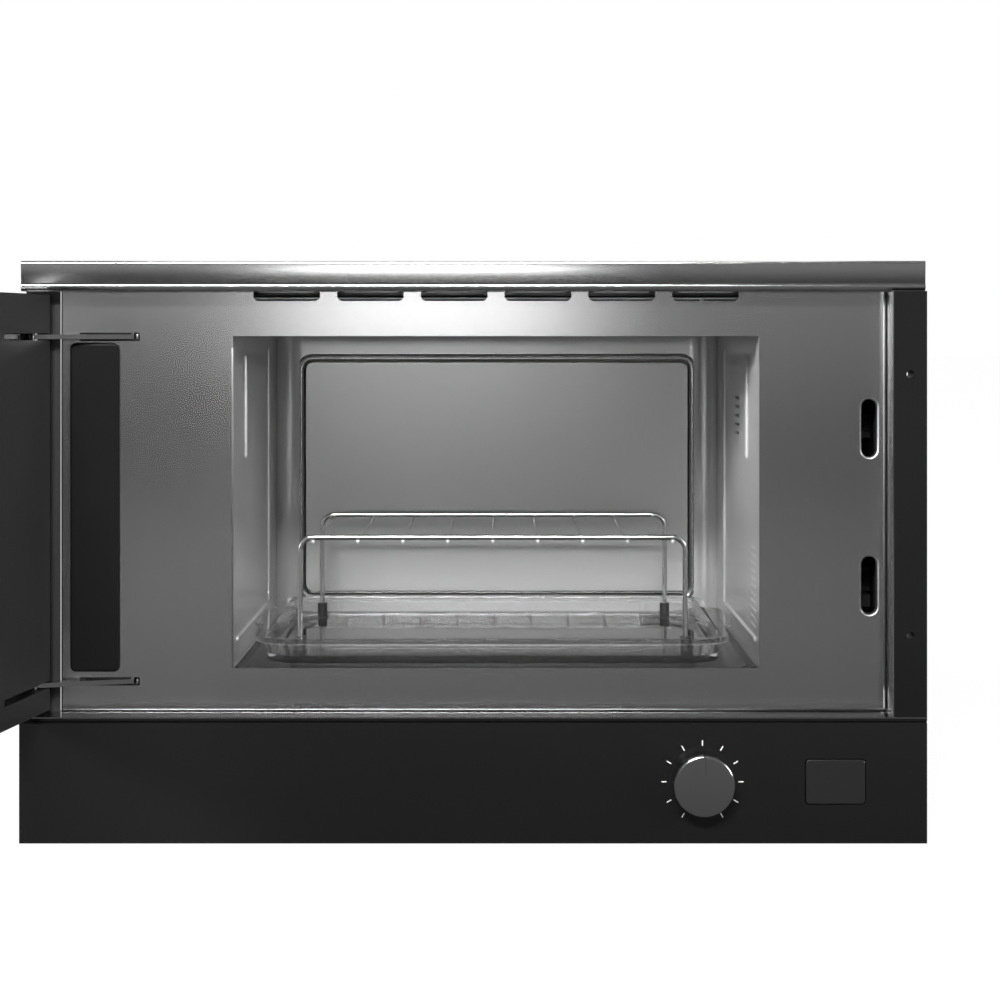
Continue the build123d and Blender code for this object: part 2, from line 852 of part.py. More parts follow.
def fan_housing():
    """The square fan frame against the rear panel."""
    y1 = body_depth - sheet
    y0 = y1 - fan_depth
    frame = plate_y(fan_x, fan_height, fan_size, fan_size, y0, y1, fan_corner)
    frame -= post_y(fan_x, fan_height, fan_bore_radius, y0 - 1, y1 + 1)
    for dx in (-1, 1):
        for dz in (-1, 1):
            x = fan_x + dx * (fan_size / 2 - fan_corner)
            z = fan_height + dz * (fan_size / 2 - fan_corner)
            frame -= post_y(x, z, fan_corner / 2, y0 - 1, y1 + 1)
    return frame


def fan_wheel():
    """The axial fan wheel with its shaft."""
    y1 = body_depth - sheet - fan_wheel_inset
    y0 = y1 - fan_wheel_depth
    wheel = post_y(fan_x, fan_height, fan_hub_radius, y0, y1)
    blade = Rot(0, 0, blade_turn) * Box(blade_thickness, fan_wheel_depth - 1, fan_wheel_radius)
    blade = Pos(0, 0, fan_hub_radius - 1 + fan_wheel_radius / 2) * blade
    for i in range(blade_count):
        wheel += Pos(fan_x, (y0 + y1) / 2, fan_height) * Rot(0, i * 360 / blade_count, 0) * blade
    wheel &= post_y(fan_x, fan_height, fan_wheel_radius, y0, y1)
    wheel += post_y(fan_x, fan_height, fan_shaft_radius, y0 - fan_wheel_depth, y0)
    return wheel


def fan_motor():
    """The fan motor on its cross arms in front of the wheel."""
    y1 = body_depth - sheet - fan_depth
    y0 = y1 - fan_arm
    reach = 2 * (fan_bore_radius + duct_wall)
    motor = post_y(fan_x, fan_height, fan_motor_radius, y1 - fan_motor_length, y1)
    motor += plate_y(fan_x, fan_height, reach, 1.5 * fan_arm, y0, y1)
    motor += plate_y(fan_x, fan_height, 1.5 * fan_arm, reach, y0, y1)
    motor -= post_y(fan_x, fan_height, fan_shaft_radius + running, y0 - fan_wheel_depth / 2, y1 + 1)
    return motor


def air_duct():
    """The plastic duct that leads the fan's air to the magnetron."""
    y0 = well_y + magnetron_width / 2
    y1 = body_depth - sheet - fan_depth
    size = 2 * (fan_bore_radius + 2 * duct_wall)
    duct = plate_y(fan_x, fan_height, size, size, y0, y1)
    inside = size - 2 * duct_wall
    return duct - plate_y(fan_x, fan_height, inside, inside, y0 - 1, y1 + 1)


def inverter():
    """The power supply board on its stand-offs, with its heat sink, coil and capacitors."""
    low = foot_height + sheet
    board_z = low + inverter_rise
    x0 = inverter_right - inverter_width
    y0 = inverter_front
    y1 = y0 + inverter_depth
    top = board_z + board_thickness
    unit = block(x0, inverter_right, y0, y1, board_z, top)
    inset = 2 * stand_off_radius
    for x in (x0 + inset, inverter_right - inset):
        for y in (y0 + inset, y1 - inset):
            unit += post_z(x, y, stand_off_radius, low, board_z)
    sink_left = x0 + inset
    sink_front = y0 + inset
    sink_back = y1 - 3 * inset
    unit += block(sink_left, sink_left + sink_width, sink_front, sink_back, top, top + sink_fin)
    for i in range(sink_count):
        x = sink_left + i * (sink_width - sink_fin) / (sink_count - 1)
        unit += block(x, x + sink_fin, sink_front, sink_back, top, top + sink_height)
    coil_x = inverter_right - 1.5 * coil_radius
    unit += post_z(coil_x, (y0 + y1) / 2, coil_radius, top, top + sink_height)
    for y in (y0 + 2 * capacitor_radius, y1 - 2 * capacitor_radius):
        unit += post_z(coil_x, y, capacitor_radius, top, top + 0.8 * sink_height)
    return unit


def filter_board():
    """The mains filter board behind the inlet."""
    low = foot_height + sheet
    y1 = body_depth - filter_depth / 2
    y = y1 - filter_depth / 2
    right = filter_left + filter_width
    top = low + filter_rise + board_thickness
    board = block(filter_left, right, y1 - filter_depth, y1, low + filter_rise, top)
    for x in (filter_left + 2 * stand_off_radius, right - 2 * stand_off_radius):
        board += post_z(x, y, stand_off_radius, low, low + filter_rise)
    board += post_z(filter_left + 2 * capacitor_radius, y, capacitor_radius, top, top + 2 * filter_rise)
    board += plate_z(right - coil_radius, y, coil_radius, coil_radius, top, top + 2 * filter_rise)
    return board


def mains_inlet():
    """The mains inlet socket in the rear panel."""
    y0 = body_depth - inlet_body
    y1 = body_depth + inlet_wall - sheet
    floor_y = y0 + inlet_wall
    inlet = plate_y(inlet_x, inlet_z, inlet_width - 2 * running, inlet_height - 2 * running, y0, y1)
    inlet += plate_y(inlet_x, inlet_z, inlet_width + 2 * inlet_flange, inlet_height + 2 * inlet_flange,
                     body_depth, y1, inlet_wall)
    inlet -= plate_y(inlet_x, inlet_z, inlet_width - 2 * inlet_wall, inlet_height - 2 * inlet_wall,
                     floor_y, y1 + 1, inlet_wall)
    for dx in (-contact_pitch, 0, contact_pitch):
        inlet += plate_y(inlet_x + dx, inlet_z, contact_thickness, contact_width, floor_y,
                         body_depth - inlet_wall)
    return inlet


def thermal_cutouts():
    """Two round thermal cut-outs: on the cavity roof and on the magnetron's filter box."""
    first_x = cavity_left + 4 * cutout_radius
    first = post_z(first_x, rib_short_y, cutout_radius, roof, roof + cutout_height)
    second_z = guide_top + magnetron_height + filter_box_height
    second = post_z(magnetron_x, well_y, cutout_radius, second_z, second_z + cutout_height)
    return Compound(children=[first, second])


def lamp_housing():
    """The open lamp box behind the slits in the right wall."""
    x0 = cavity_right + sheet
    x1 = x0 + lamp_length
    box = plate_x(slit_y, lamp_z, lamp_depth, lamp_height, x0, x1)
    box -= plate_x(slit_y, lamp_z, lamp_depth - 2 * lamp_wall, lamp_height - 2 * lamp_wall, x0 - 1,
                   x1 - lamp_wall)
    box -= post_x(slit_y, lamp_z, lamp_neck + running, x1 - 2 * lamp_wall, x1 + 1)
    return box


def lamp_bulb():
    """The lamp bulb with its cap in the lamp box."""
    middle = lamp_neck + lamp_radius
    shoulder = middle + math.sqrt(lamp_radius ** 2 - lamp_neck ** 2)
    end = lamp_length + 3 * lamp_wall
    glass = ThreePointArc((lamp_neck, 0), (middle, lamp_radius), (shoulder, lamp_neck))
    cap = Polyline((shoulder, lamp_neck), (end, lamp_neck), (end, 0), (lamp_neck, 0))
    return Pos(cavity_right + sheet, slit_y, lamp_z) * revolve(make_face(glass + cap), Axis.X)


def grill_reflector():
    """The reflector channel over the slots in the cavity roof."""
    reflector = plate_z(cavity_shift, well_y, grill_length, grill_depth, roof, roof + grill_height)
    reflector -= plate_z(cavity_shift, well_y, grill_length - 2 * sheet, grill_depth - 2 * sheet,
                         roof - 1, roof + grill_height - sheet)
    half = grill_length / 2 + 1
    for dy in (-tube_offset, tube_offset):
        reflector -= post_x(well_y + dy, roof + tube_rise, tube_radius, cavity_shift - half,
                            cavity_shift + half)
    return reflector


def grill_element():
    """Two quartz heating tubes with their ceramic ends."""
    tubes = []
    half = grill_length / 2 + grill_end_length
    for dy in (-tube_offset, tube_offset):
        y = well_y + dy
        tube = post_x(y, roof + tube_rise, tube_radius, cavity_shift - half, cavity_shift + half)
        for side in (-1, 1):
            x = cavity_shift + side * (half - grill_end_length / 2)
            tube += plate_z(x, y, grill_end_length, grill_end_size, roof + tube_rise - grill_end_size / 2,
                            roof + tube_rise + grill_end_size / 2)
        tubes.append(tube)
    return Compound(children=tubes)


def latch_bracket():
    """The plastic bracket behind the latch slots that carries the interlock switches."""
    x1 = half_body - sheet
    x0 = x1 - bracket_wall
    shelf = x0 - switch_height
    z0 = latch_heights[0] - bracket_reach
    z1 = latch_heights[1] + bracket_reach
    bracket = block(x0, x1, return_depth + sheet, bracket_depth, z0, z1)
    for z in (z0, latch_z - bracket_wall / 2, z1 - bracket_wall):
        bracket += block(shelf, x0, sheet, bracket_depth, z, z + bracket_wall)
    half = rod_width / 2 + slide_gap
    bracket -= block(rod_x - half, rod_x + half, rod_y - slide_gap, rod_y + rod_width + slide_gap,
                     z0 - 1, z0 + bracket_wall + 1)
    return bracket


def interlock_switches():
    """Three small switches that sense the two hooks and the middle of the latch."""
    x1 = half_body - sheet - bracket_wall
    x0 = x1 - switch_width
    switches = []
    for z in (latch_heights[0], latch_z + (bracket_wall + switch_height) / 2, latch_heights[1]):
        body = block(x0, x1, switch_front, switch_back, z - switch_height / 2, z + switch_height / 2)
        tip = block(x0 + plunger, x0 + 2 * plunger, switch_front - plunger, switch_front,
                    z - plunger, z + plunger)
        switches.append(body + tip)
    return Compound(children=switches)


def hinge_leaf(z):
    """A flat hinge arm from its anchor behind the plate, through the slot, to the pin."""
    right = leaf_right
    left = leaf_right - hinge_slot_length + 2 * leaf_end_gap
    outline = Polyline(
        (right, leaf_depth), (right, 0), (pin_x, pin_y - leaf_boss_radius),
        (pin_x, pin_y + leaf_boss_radius), (left, 0), (left, leaf_depth), close=True)
    leaf = Pos(0, 0, z - leaf_thickness / 2) * extrude(make_face(outline), amount=leaf_thickness)
    leaf += post_z(pin_x, pin_y, leaf_boss_radius, z - leaf_thickness / 2, z + leaf_thickness / 2)
    leaf -= post_z(pin_x, pin_y, hinge_pin_radius, z - leaf_thickness, z + leaf_thickness)
    leaf += block(left, right, sheet, 3.5 * sheet, z - anchor_reach, z + anchor_reach)
    return leaf


def hinge_pins():
    """The two hinge pins, fixed in the ends of the arms."""
    pins = []
    for z in (upper_leaf, lower_leaf):
        half = hinge_pin_length / 2
        pins.append(post_z(pin_x, pin_y, hinge_pin_radius, z - half, z + half))
    return Compound(children=pins)


def control_housing():
    """The control panel's moulded housing, open to the front behind the glass."""
    housing = block(-half_front, half_front, glass_back, 0, 0, housing_top)
    housing -= block(-half_front + housing_wall, half_front - housing_wall, glass_back - 1,
                     -housing_wall, housing_wall, housing_top - housing_wall)
    housing += block(-half_front, half_front, -front_depth, glass_back, housing_top - glass_drop,
                     housing_top)
    foot = half_body - housing_foot_inset
    housing += block(-foot, foot, 0, housing_foot, 0, housing_wall)
    for x in (-board_width / 2 + boss_inset, board_width / 2 - boss_inset):
        for z in (board_low + boss_inset, board_high - boss_inset):
            housing += post_y(x, z, stand_off_radius, board_y + board_thickness, -housing_wall)
    housing += post_y(knob_place, button_middle, 0.8 * knob_radius, encoder_back, -housing_wall)
    for side in (-1, 1):
        x = button_x + side * (button_width / 2 + housing_wall)
        housing += plate_y(x, button_middle, bracket_wall, button_height, glass_back, -housing_wall)
    opening = 2 * (wedge_half + stem_gap)
    housing -= plate_y(button_x, button_middle, opening, opening, -housing_wall - 1, 1)
    return housing


def control_glass():
    """The black glass of the control panel with its bevelled top edge."""
    high = housing_top - glass_drop
    glass = block(-half_front, half_front, -front_depth, glass_back, glass_foot, high)
    edge = glass.edges().filter_by(Axis.X).group_by(Axis.Y)[0].sort_by(Axis.Z)[-1]
    glass = chamfer(edge, glass_bevel)
    glass -= plate_y(button_x, button_middle, button_width, button_height, -front_depth - 1, 0,
                     button_corner)
    glass -= post_y(knob_place, button_middle, knob_shaft_radius + 1, -front_depth - 1, 0)
    return glass


def display_module():
    """The display behind the middle of the control glass."""
    return plate_y(0, button_middle, display_width, display_height, glass_back, board_y)


def control_board():
    """The control board behind the display."""
    half = board_width / 2
    back = board_y + board_thickness
    board = block(-half, half, board_y, back, board_low, board_high)
    for i in (-2, -1, 1, 2):
        x = i * board_width / 7
        board += plate_y(x, button_middle, chip_width, chip_height, back, back + chip_thickness)
    return board


def knob_encoder():
    """The rotary encoder that carries the knob's shaft."""
    encoder = plate_y(knob_place, button_middle, encoder_size, encoder_size, glass_back, encoder_back, 2)
    encoder -= post_y(knob_place, button_middle, knob_shaft_radius + running, glass_back - 1,
                      encoder_back - 1)
    return encoder


def control_knob():
    """The rotary knob with a pointer groove and its shaft."""
    y1 = -front_depth - slide_gap
    y0 = y1 - knob_height
    knob = post_y(knob_place, button_middle, knob_radius, y0, y1)
    knob = fillet(knob.edges().group_by(Axis.Y)[0], knob_rounding)
    knob -= block(knob_place - pointer_depth, knob_place + pointer_depth, y0 - 1, y0 + pointer_depth,
                  button_middle + knob_radius / 3, button_middle + knob_radius + 1)
    return knob + post_y(knob_place, button_middle, knob_shaft_radius, y1, encoder_back - 1.5)


def release_button():
    """The door release button, its stem and the wedge that lifts the rod."""
    cap_back = -front_depth + button_depth
    low = button_middle - wedge_half
    high = button_middle + wedge_half
    cap = plate_y(button_x, button_middle, button_width - 2 * button_gap,
                  button_height - 2 * button_gap, -front_depth - button_proud, cap_back,
                  button_corner - button_gap)
    cap = fillet(cap.faces().sort_by(Axis.Y)[0].edges(), button_rounding)
    stem = block(button_x - wedge_half, button_x + wedge_half, cap_back, rod_face, low, high)
    stem += block(button_x, rod_x + wedge_width / 2, rod_face - arm_depth, rod_face, low, high)
    nose = Polyline((rod_face, low), (rod_face, high), (rod_face + 2 * wedge_half, low), close=True)
    wedge = Pos(rod_x - wedge_width / 2, 0, 0) * extrude(Plane.YZ * make_face(nose), amount=wedge_width)
    return cap + stem + wedge


def release_rod():
    """The upright rod that the button's wedge lifts towards the lower latch hook."""
    half = rod_width / 2
    low = button_middle - wedge_half
    top = latch_heights[0] - hook_height / 2 - rod_top_gap
    rod = block(rod_x - half, rod_x + half, rod_y, rod_y + rod_width, low, top)
    rod += block(rod_x - half, rod_x + half, rod_y - finger_reach, rod_y, top - finger_height, top)
    high = button_middle + wedge_half + math.sqrt(2) * slide_gap
    depth = 3 * rod_width
    slope = Polyline((rod_face, high), (rod_face + depth, high - depth), (rod_face, high - depth),
                     close=True)
    under = Pos(rod_x - half - 1, 0, 0) * extrude(Plane.YZ * make_face(slope), amount=rod_width + 2)
    return rod - under


def door_outer_glass():
    """The black outer glass of the door."""
    glass = block(-half_front, door_right, -front_depth, glass_back, door_low, door_high)
    return opened(chamfer(glass.faces().sort_by(Axis.Y)[0].edges(), glass_edge))


def door_frame():
    """The door frame with its window, the pockets of the hinge arms and the latch channel."""
    frame = block(-half_front + frame_rounding, door_right - 1, glass_back, door_back, door_low + 1,
                  door_high - 1)
    side = frame.edges().filter_by(Axis.Z).group_by(Axis.Y)[-1]
    frame = fillet(side, frame_rounding)
    window_width = cavity_width - 2 * window_margin
    window_height = cavity_height - 2 * window_margin
    frame -= plate_y(cavity_shift, cavity_middle, window_width, window_height, glass_back - 1, 0,
                     window_corner)
    pocket_right = leaf_right + pocket_gap
    for z in (upper_leaf, lower_leaf):
        half = leaf_thickness / 2 + leaf_play
        frame -= block(-half_front - 1, pocket_right, glass_back - 1, 0, z - half, z + half)
        reach = hinge_pin_length / 2 + pin_end_gap
        frame -= post_z(pin_x, pin_y, hinge_pin_radius + running, z - reach, z + reach)
    half = latch_bar_width / 2 + slide_gap
    front = latch_back - latch_bar_depth - slide_gap
    frame -= block(latch_x - half, latch_x + half, front, latch_back + slide_gap,
                   latch_low - slide_gap - spring_length, latch_high + latch_travel + slide_gap)
    half_wide = hook_width / 2 + hook_gap
    reach = hook_height / 2 + hook_gap
    for z in latch_heights:
        frame -= block(latch_x - half_wide, latch_x + half_wide, latch_back - 1, 0, z - reach,
                       z + reach + latch_travel)
    return opened(frame)


def choke_frame():
    """The raised ring round the window that closes the cavity mouth."""
    width = cavity_width - 2 * choke_gap
    height = cavity_height - 2 * choke_gap
    ring = plate_y(cavity_shift, cavity_middle, width, height, door_back, choke_reach, choke_corner)
    ring -= plate_y(cavity_shift, cavity_middle, width - 2 * choke_width, height - 2 * choke_width,
                    door_back - 1, choke_reach + 1, choke_corner - 1)
    return opened(ring)


def door_screen():
    """The metal screen in the door's window."""
    width = cavity_width - 2 * window_margin - 2 * seat_gap
    height = cavity_height - 2 * window_margin - 2 * seat_gap
    y1 = door_back - screen_inset
    return opened(plate_y(cavity_shift, cavity_middle, width, height, y1 - screen_thickness, y1,
                          window_corner))


def door_inner_glass():
    """The inner glass pane inside the choke ring."""
    margin = choke_gap + choke_width + seat_gap
    return opened(plate_y(cavity_shift, cavity_middle, cavity_width - 2 * margin,
                          cavity_height - 2 * margin, door_back, choke_reach - 1, choke_corner - 1))


def door_latch():
    """The sliding latch bar with its two hooks."""
    half = latch_bar_width / 2
    latch = block(latch_x - half, latch_x + half, latch_back - latch_bar_depth, latch_back, latch_low,
                  latch_high)
    for z in latch_heights:
        low = z - hook_height / 2
        shank = block(latch_x - hook_width / 2, latch_x + hook_width / 2, latch_back, hook_reach,
                      low, low + hook_height)
        notch = block(latch_x - half, latch_x + half, 3 * sheet, hook_reach - hook_nose, low - 1,
                      low + hook_notch)
        latch += shank - notch
    return opened(latch)


def latch_spring():
    """The coil spring under the latch bar."""
    bottom = latch_low - spring_length
    height = spring_length - 2 * spring_wire
    helix = Helix(pitch=height / spring_turns, height=height, radius=spring_radius)
    section = Plane(origin=helix @ 0, z_dir=helix % 0) * Circle(spring_wire)
    y = latch_back - latch_bar_depth / 2
    return opened(Pos(latch_x, y, bottom + spring_wire) * sweep(section, helix))


def tray_shell(grow, z0, z1, radius_cut):
    """A tapered rounded tray form, smaller by the given wall."""
    bottom_width = tray_width - 2 * tray_slope - 2 * grow
    bottom_depth = tray_depth - 2 * tray_slope - 2 * grow
    bottom = RectangleRounded(bottom_width, bottom_depth, tray_corner - tray_slope - radius_cut)
    top = RectangleRounded(tray_width - 2 * grow, tray_depth - 2 * grow, tray_corner - radius_cut)
    form = loft([Pos(0, 0, z0) * bottom, Pos(0, 0, z1) * top])
    return Pos(tray_x, tray_y, 0) * form


def glass_tray():
    """The glass tray with sloping sides, a flat rim and a moulded grip at each side."""
    rim_z = floor_top + tray_height
    tray = tray_shell(0, floor_top, rim_z, 0)
    for side in (-1, 1):
        x = tray_x + side * (tray_width / 2 + handle_reach - handle_corner)
        tray += plate_z(x, tray_y, 2 * handle_corner + 2, handle_width, rim_z - handle_thickness, rim_z,
                        handle_corner)
    tray -= tray_shell(tray_wall, tray_floor, rim_z, tray_wall / 2)
    return tray


def rack_hoop(y):
    """One end frame of the rack: two legs and a bar, bent from a single wire."""
    foot = tray_floor + sleeve_sole
    left = tray_x - leg_spread
    right = tray_x + leg_spread
    points = [(left, y, foot), (left, y, rack_bar), (right, y, rack_bar), (right, y, foot)]
    return wire_along(points, rack_bend, rack_wire / 2)


def rack_wires():
    """The thin cross wires welded under the two bars."""
    z = rack_bar - rack_wire / 2 - cross_wire / 2
    wires = []
    for i in range(cross_count):
        x = tray_x + (i - (cross_count - 1) / 2) * cross_pitch
        wires.append(post_y(x, z, cross_wire / 2, rack_front - cross_overhang,
                            rack_back + cross_overhang))
    return Compound(children=wires)


def rack_feet():
    """The rubber sleeves on the four legs."""
    sleeves = []
    for x in (tray_x - leg_spread, tray_x + leg_spread):
        for y in (rack_front, rack_back):
            sleeve = post_z(x, y, sleeve_radius, tray_floor, tray_floor + sleeve_height)
            sleeve -= post_z(x, y, rack_wire / 2, tray_floor + sleeve_sole, rack_bar)
            sleeves.append(sleeve)
    return Compound(children=sleeves)


pieces = {
    "cavity_shell": cavity_shell(),
    "front_plate": front_plate(),
    "floor_plate": floor_plate(),
    "floor_seal": floor_seal(),
    "hinge_cover": hinge_cover(),
    "top_trim_bar": top_trim_bar(),
    "side_cheek_right": side_cheek(),
    "side_strip_left": side_strip_left(),
    "side_flange_right": side_flange(),
    "panel_ledge": panel_ledge(),
    "outer_casing": outer_casing(),
    "exhaust_duct": exhaust_duct(),
    "base_pan": base_pan(),
    "rear_panel": rear_panel(),
    "support_feet": support_feet(),
    "casing_screws": casing_screws(),
    "stirrer_antenna": stirrer_antenna(),
    "stirrer_motor": stirrer_motor(),
    "waveguide": waveguide(),
    "magnetron": magnetron(),
    "magnetron_fins": magnetron_fins(),
    "fan_housing": fan_housing(),
    "fan_wheel": fan_wheel(),
    "fan_motor": fan_motor(),
    "air_duct": air_duct(),
    "inverter": inverter(),
    "filter_board": filter_board(),
    "mains_inlet": mains_inlet(),
    "thermal_cutouts": thermal_cutouts(),
    "lamp_housing": lamp_housing(),
    "lamp_bulb": lamp_bulb(),
    "grill_reflector": grill_reflector(),
    "grill_element": grill_element(),
    "latch_bracket": latch_bracket(),
    "interlock_switches": interlock_switches(),
    "hinge_leaf_upper": hinge_leaf(upper_leaf),
    "hinge_leaf_lower": hinge_leaf(lower_leaf),
    "hinge_pins": hinge_pins(),
    "control_housing": control_housing(),
    "control_glass": control_glass(),
    "display_module": display_module(),
    "control_board": control_board(),
    "knob_encoder": knob_encoder(),
    "control_knob": control_knob(),
    "release_button": release_button(),
    "release_rod": release_rod(),
    "door_outer_glass": door_outer_glass(),
    "door_frame": door_frame(),
    "choke_frame": choke_frame(),
    "door_screen": door_screen(),
    "door_inner_glass": door_inner_glass(),
    "door_latch": door_latch(),
    "latch_spring": latch_spring(),
    "glass_tray": glass_tray(),
    "rack_front_frame": rack_hoop(rack_front),
    "rack_rear_frame": rack_hoop(rack_back),
    "rack_wires": rack_wires(),
    "rack_feet": rack_feet(),
}

os.makedirs("parts", exist_ok=True)
for name, piece in pieces.items():
    export_step(piece, f"parts/{name}.step")
    print(name, "volume", round(piece.volume, 1))
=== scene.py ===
# %% [markdown]
# # A built-in microwave, dressed over its measured solids
# This lesson takes the packed model of a built-in microwave, which is right in size but plain in
# looks, and gives it the satin steel, glass, chrome wire and black plastic of the real appliance.
# The solids are never moved. They get finishes, and a few of them are stood in for by finer pieces.

# %% Load the measured frame
import json
import math
import bpy
import bmesh
from mathutils import Matrix, Vector


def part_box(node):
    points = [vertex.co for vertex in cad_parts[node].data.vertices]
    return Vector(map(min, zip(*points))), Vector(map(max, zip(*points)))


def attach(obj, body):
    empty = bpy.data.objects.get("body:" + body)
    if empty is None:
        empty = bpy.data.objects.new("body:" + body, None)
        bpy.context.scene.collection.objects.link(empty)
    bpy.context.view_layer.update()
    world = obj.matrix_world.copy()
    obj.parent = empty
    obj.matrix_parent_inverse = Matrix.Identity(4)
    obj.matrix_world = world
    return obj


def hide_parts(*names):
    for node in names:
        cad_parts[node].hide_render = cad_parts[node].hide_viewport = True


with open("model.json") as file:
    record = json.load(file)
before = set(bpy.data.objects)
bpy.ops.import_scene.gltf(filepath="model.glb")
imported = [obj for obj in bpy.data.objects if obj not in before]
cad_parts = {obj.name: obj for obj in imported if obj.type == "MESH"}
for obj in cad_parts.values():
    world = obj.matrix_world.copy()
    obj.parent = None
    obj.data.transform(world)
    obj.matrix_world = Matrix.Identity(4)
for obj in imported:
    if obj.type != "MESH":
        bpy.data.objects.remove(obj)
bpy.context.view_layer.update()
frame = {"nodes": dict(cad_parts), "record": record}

nodes = frame["nodes"]

# %% [markdown]
# ## Camera
# The picture looks straight into the open cavity, a little right of its middle and level with its
# roof. A level camera keeps the upright edges upright, so the view is moved down with the lens
# shift, as with a view camera, and the camera itself isn't tilted.

# %% The level camera
camera_data = bpy.data.cameras.new("level_camera")
camera_data.lens = 69.94
camera_data.sensor_width = 36.0
camera_data.shift_y = -0.165
camera = bpy.data.objects.new("level_camera", camera_data)
camera.location = (0.0176, -1.292, 0.3332)
camera.rotation_euler = (math.radians(90), 0, 0)
bpy.context.scene.collection.objects.link(camera)
bpy.context.scene.camera = camera
print("camera at", tuple(round(v, 3) for v in camera.location))

# %% [markdown]
# ## Studio
# Satin steel is a blurred mirror: it shows the room more than its own colour. Seen from the front,
# the flat plate mirrors the floor and the room behind the camera, so both are kept dim, and a slim
# lamp behind the camera draws the soft bright patch at the plate's top. A long lamp high on the
# left and one above the front light the cavity. The right and top lamps only soften the shadows,
# and two weak lamps far behind the camera stand in for pale cards that the plate's ends mirror.

# %% The room around the appliance
room = bpy.data.worlds.new("studio_room")
bpy.context.scene.world = room
room.use_nodes = True
room_nodes = room.node_tree.nodes
room_links = room.node_tree.links
room_nodes.clear()
room_out = room_nodes.new("ShaderNodeOutputWorld")
room_light = room_nodes.new("ShaderNodeBackground")
room_place = room_nodes.new("ShaderNodeTexCoord")
room_axes = room_nodes.new("ShaderNodeSeparateXYZ")
room_back = room_nodes.new("ShaderNodeMapRange")
room_back.inputs["From Min"].default_value = 0.1
room_back.inputs["From Max"].default_value = 0.7
room_ray = room_nodes.new("ShaderNodeLightPath")
room_gloss = room_nodes.new("ShaderNodeMath")
room_gloss.operation = "MULTIPLY"
room_seen = room_nodes.new("ShaderNodeMath")
room_seen.operation = "MAXIMUM"
room_through = room_nodes.new("ShaderNodeMath")
room_through.operation = "MAXIMUM"
room_mix = room_nodes.new("ShaderNodeMix")
room_mix.data_type = "RGBA"
room_mix.inputs["A"].default_value = (0.16, 0.16, 0.16, 1)
room_mix.inputs["B"].default_value = (1, 1, 1, 1)
room_links.new(room_place.outputs["Generated"], room_axes.inputs[0])
room_links.new(room_axes.outputs["Y"], room_back.inputs["Value"])
room_links.new(room_back.outputs["Result"], room_gloss.inputs[0])
room_links.new(room_ray.outputs["Is Glossy Ray"], room_gloss.inputs[1])
room_links.new(room_gloss.outputs[0], room_seen.inputs[0])
room_links.new(room_ray.outputs["Is Camera Ray"], room_seen.inputs[1])
room_links.new(room_seen.outputs[0], room_through.inputs[0])
room_links.new(room_ray.outputs["Is Transmission Ray"], room_through.inputs[1])
room_links.new(room_through.outputs[0], room_mix.inputs["Factor"])
room_links.new(room_mix.outputs["Result"], room_light.inputs["Color"])
room_links.new(room_light.outputs[0], room_out.inputs["Surface"])
print("room nodes:", len(room_nodes))

# %% The lamps
def studio_lamp(name, place, aim, width, height, power):
    """A soft box lamp at a place, turned towards a point."""
    data = bpy.data.lights.new(name, "AREA")
    data.shape = "RECTANGLE"
    data.size = width
    data.size_y = height
    data.energy = power
    lamp = bpy.data.objects.new(name, data)
    lamp.location = place
    lamp.rotation_euler = (Vector(aim) - Vector(place)).to_track_quat("-Z", "Y").to_euler()
    bpy.context.scene.collection.objects.link(lamp)
    return lamp


lamps = [
    studio_lamp("left_lamp", (-2.6, -1.4, 1.15), (0.1, 0.05, 0.2), 1.5, 0.5, 150),
    studio_lamp("front_lamp", (-0.35, -2.2, 1.75), (0, 0.1, 0.2), 1.4, 0.3, 140),
    studio_lamp("right_lamp", (2.7, -1.2, 0.9), (0, 0, 0.2), 1.0, 1.0, 50),
    studio_lamp("top_lamp", (0, 0.7, 2.3), (0, 0.1, 0.3), 1.2, 1.2, 14),
    studio_lamp("left_card", (-1.6, -4.5, 0.58), (-0.2, 0, 0.34), 2.0, 0.35, 0.7),
    studio_lamp("right_card", (1.6, -4.5, 0.5), (0.2, 0, 0.3), 2.0, 0.8, 0.9),
    studio_lamp("plate_lamp", (-0.173, -4.0, 0.42), (0, 0, 0.35), 0.75, 0.1, 3.4),
]
print("lamps:", [lamp.name for lamp in lamps])

# %% [markdown]
# ## Floor
# The appliance stands on a plain pale floor that runs out of sight. Seen by the camera the floor
# has a glow of its own that takes it almost to white. The lamps add the rest, so the appliance's
# shadow still shows, and the floor that the steel mirrors stays dim.

# %% A pale floor
floor_finish = bpy.data.materials.new("pale_floor")
floor_finish.use_nodes = True
floor_nodes = floor_finish.node_tree.nodes
floor_links = floor_finish.node_tree.links
floor_nodes.clear()
floor_out = floor_nodes.new("ShaderNodeOutputMaterial")
floor_matt = floor_nodes.new("ShaderNodeBsdfDiffuse")
floor_matt.inputs["Color"].default_value = (0.08, 0.08, 0.08, 1)
floor_glow = floor_nodes.new("ShaderNodeEmission")
floor_ray = floor_nodes.new("ShaderNodeLightPath")
floor_place = floor_nodes.new("ShaderNodeTexCoord")
floor_far = floor_nodes.new("ShaderNodeVectorMath")
floor_far.operation = "LENGTH"
floor_grow = floor_nodes.new("ShaderNodeMapRange")
floor_grow.inputs["From Min"].default_value = 0.7
floor_grow.inputs["From Max"].default_value = 3.0
floor_grow.inputs["To Min"].default_value = 0.92
floor_grow.inputs["To Max"].default_value = 0.98
floor_level = floor_nodes.new("ShaderNodeMath")
floor_level.operation = "MULTIPLY"
floor_both = floor_nodes.new("ShaderNodeAddShader")
floor_links.new(floor_ray.outputs["Is Camera Ray"], floor_level.inputs[0])
floor_links.new(floor_place.outputs["Object"], floor_far.inputs[0])
floor_links.new(floor_far.outputs["Value"], floor_grow.inputs["Value"])
floor_links.new(floor_grow.outputs["Result"], floor_level.inputs[1])
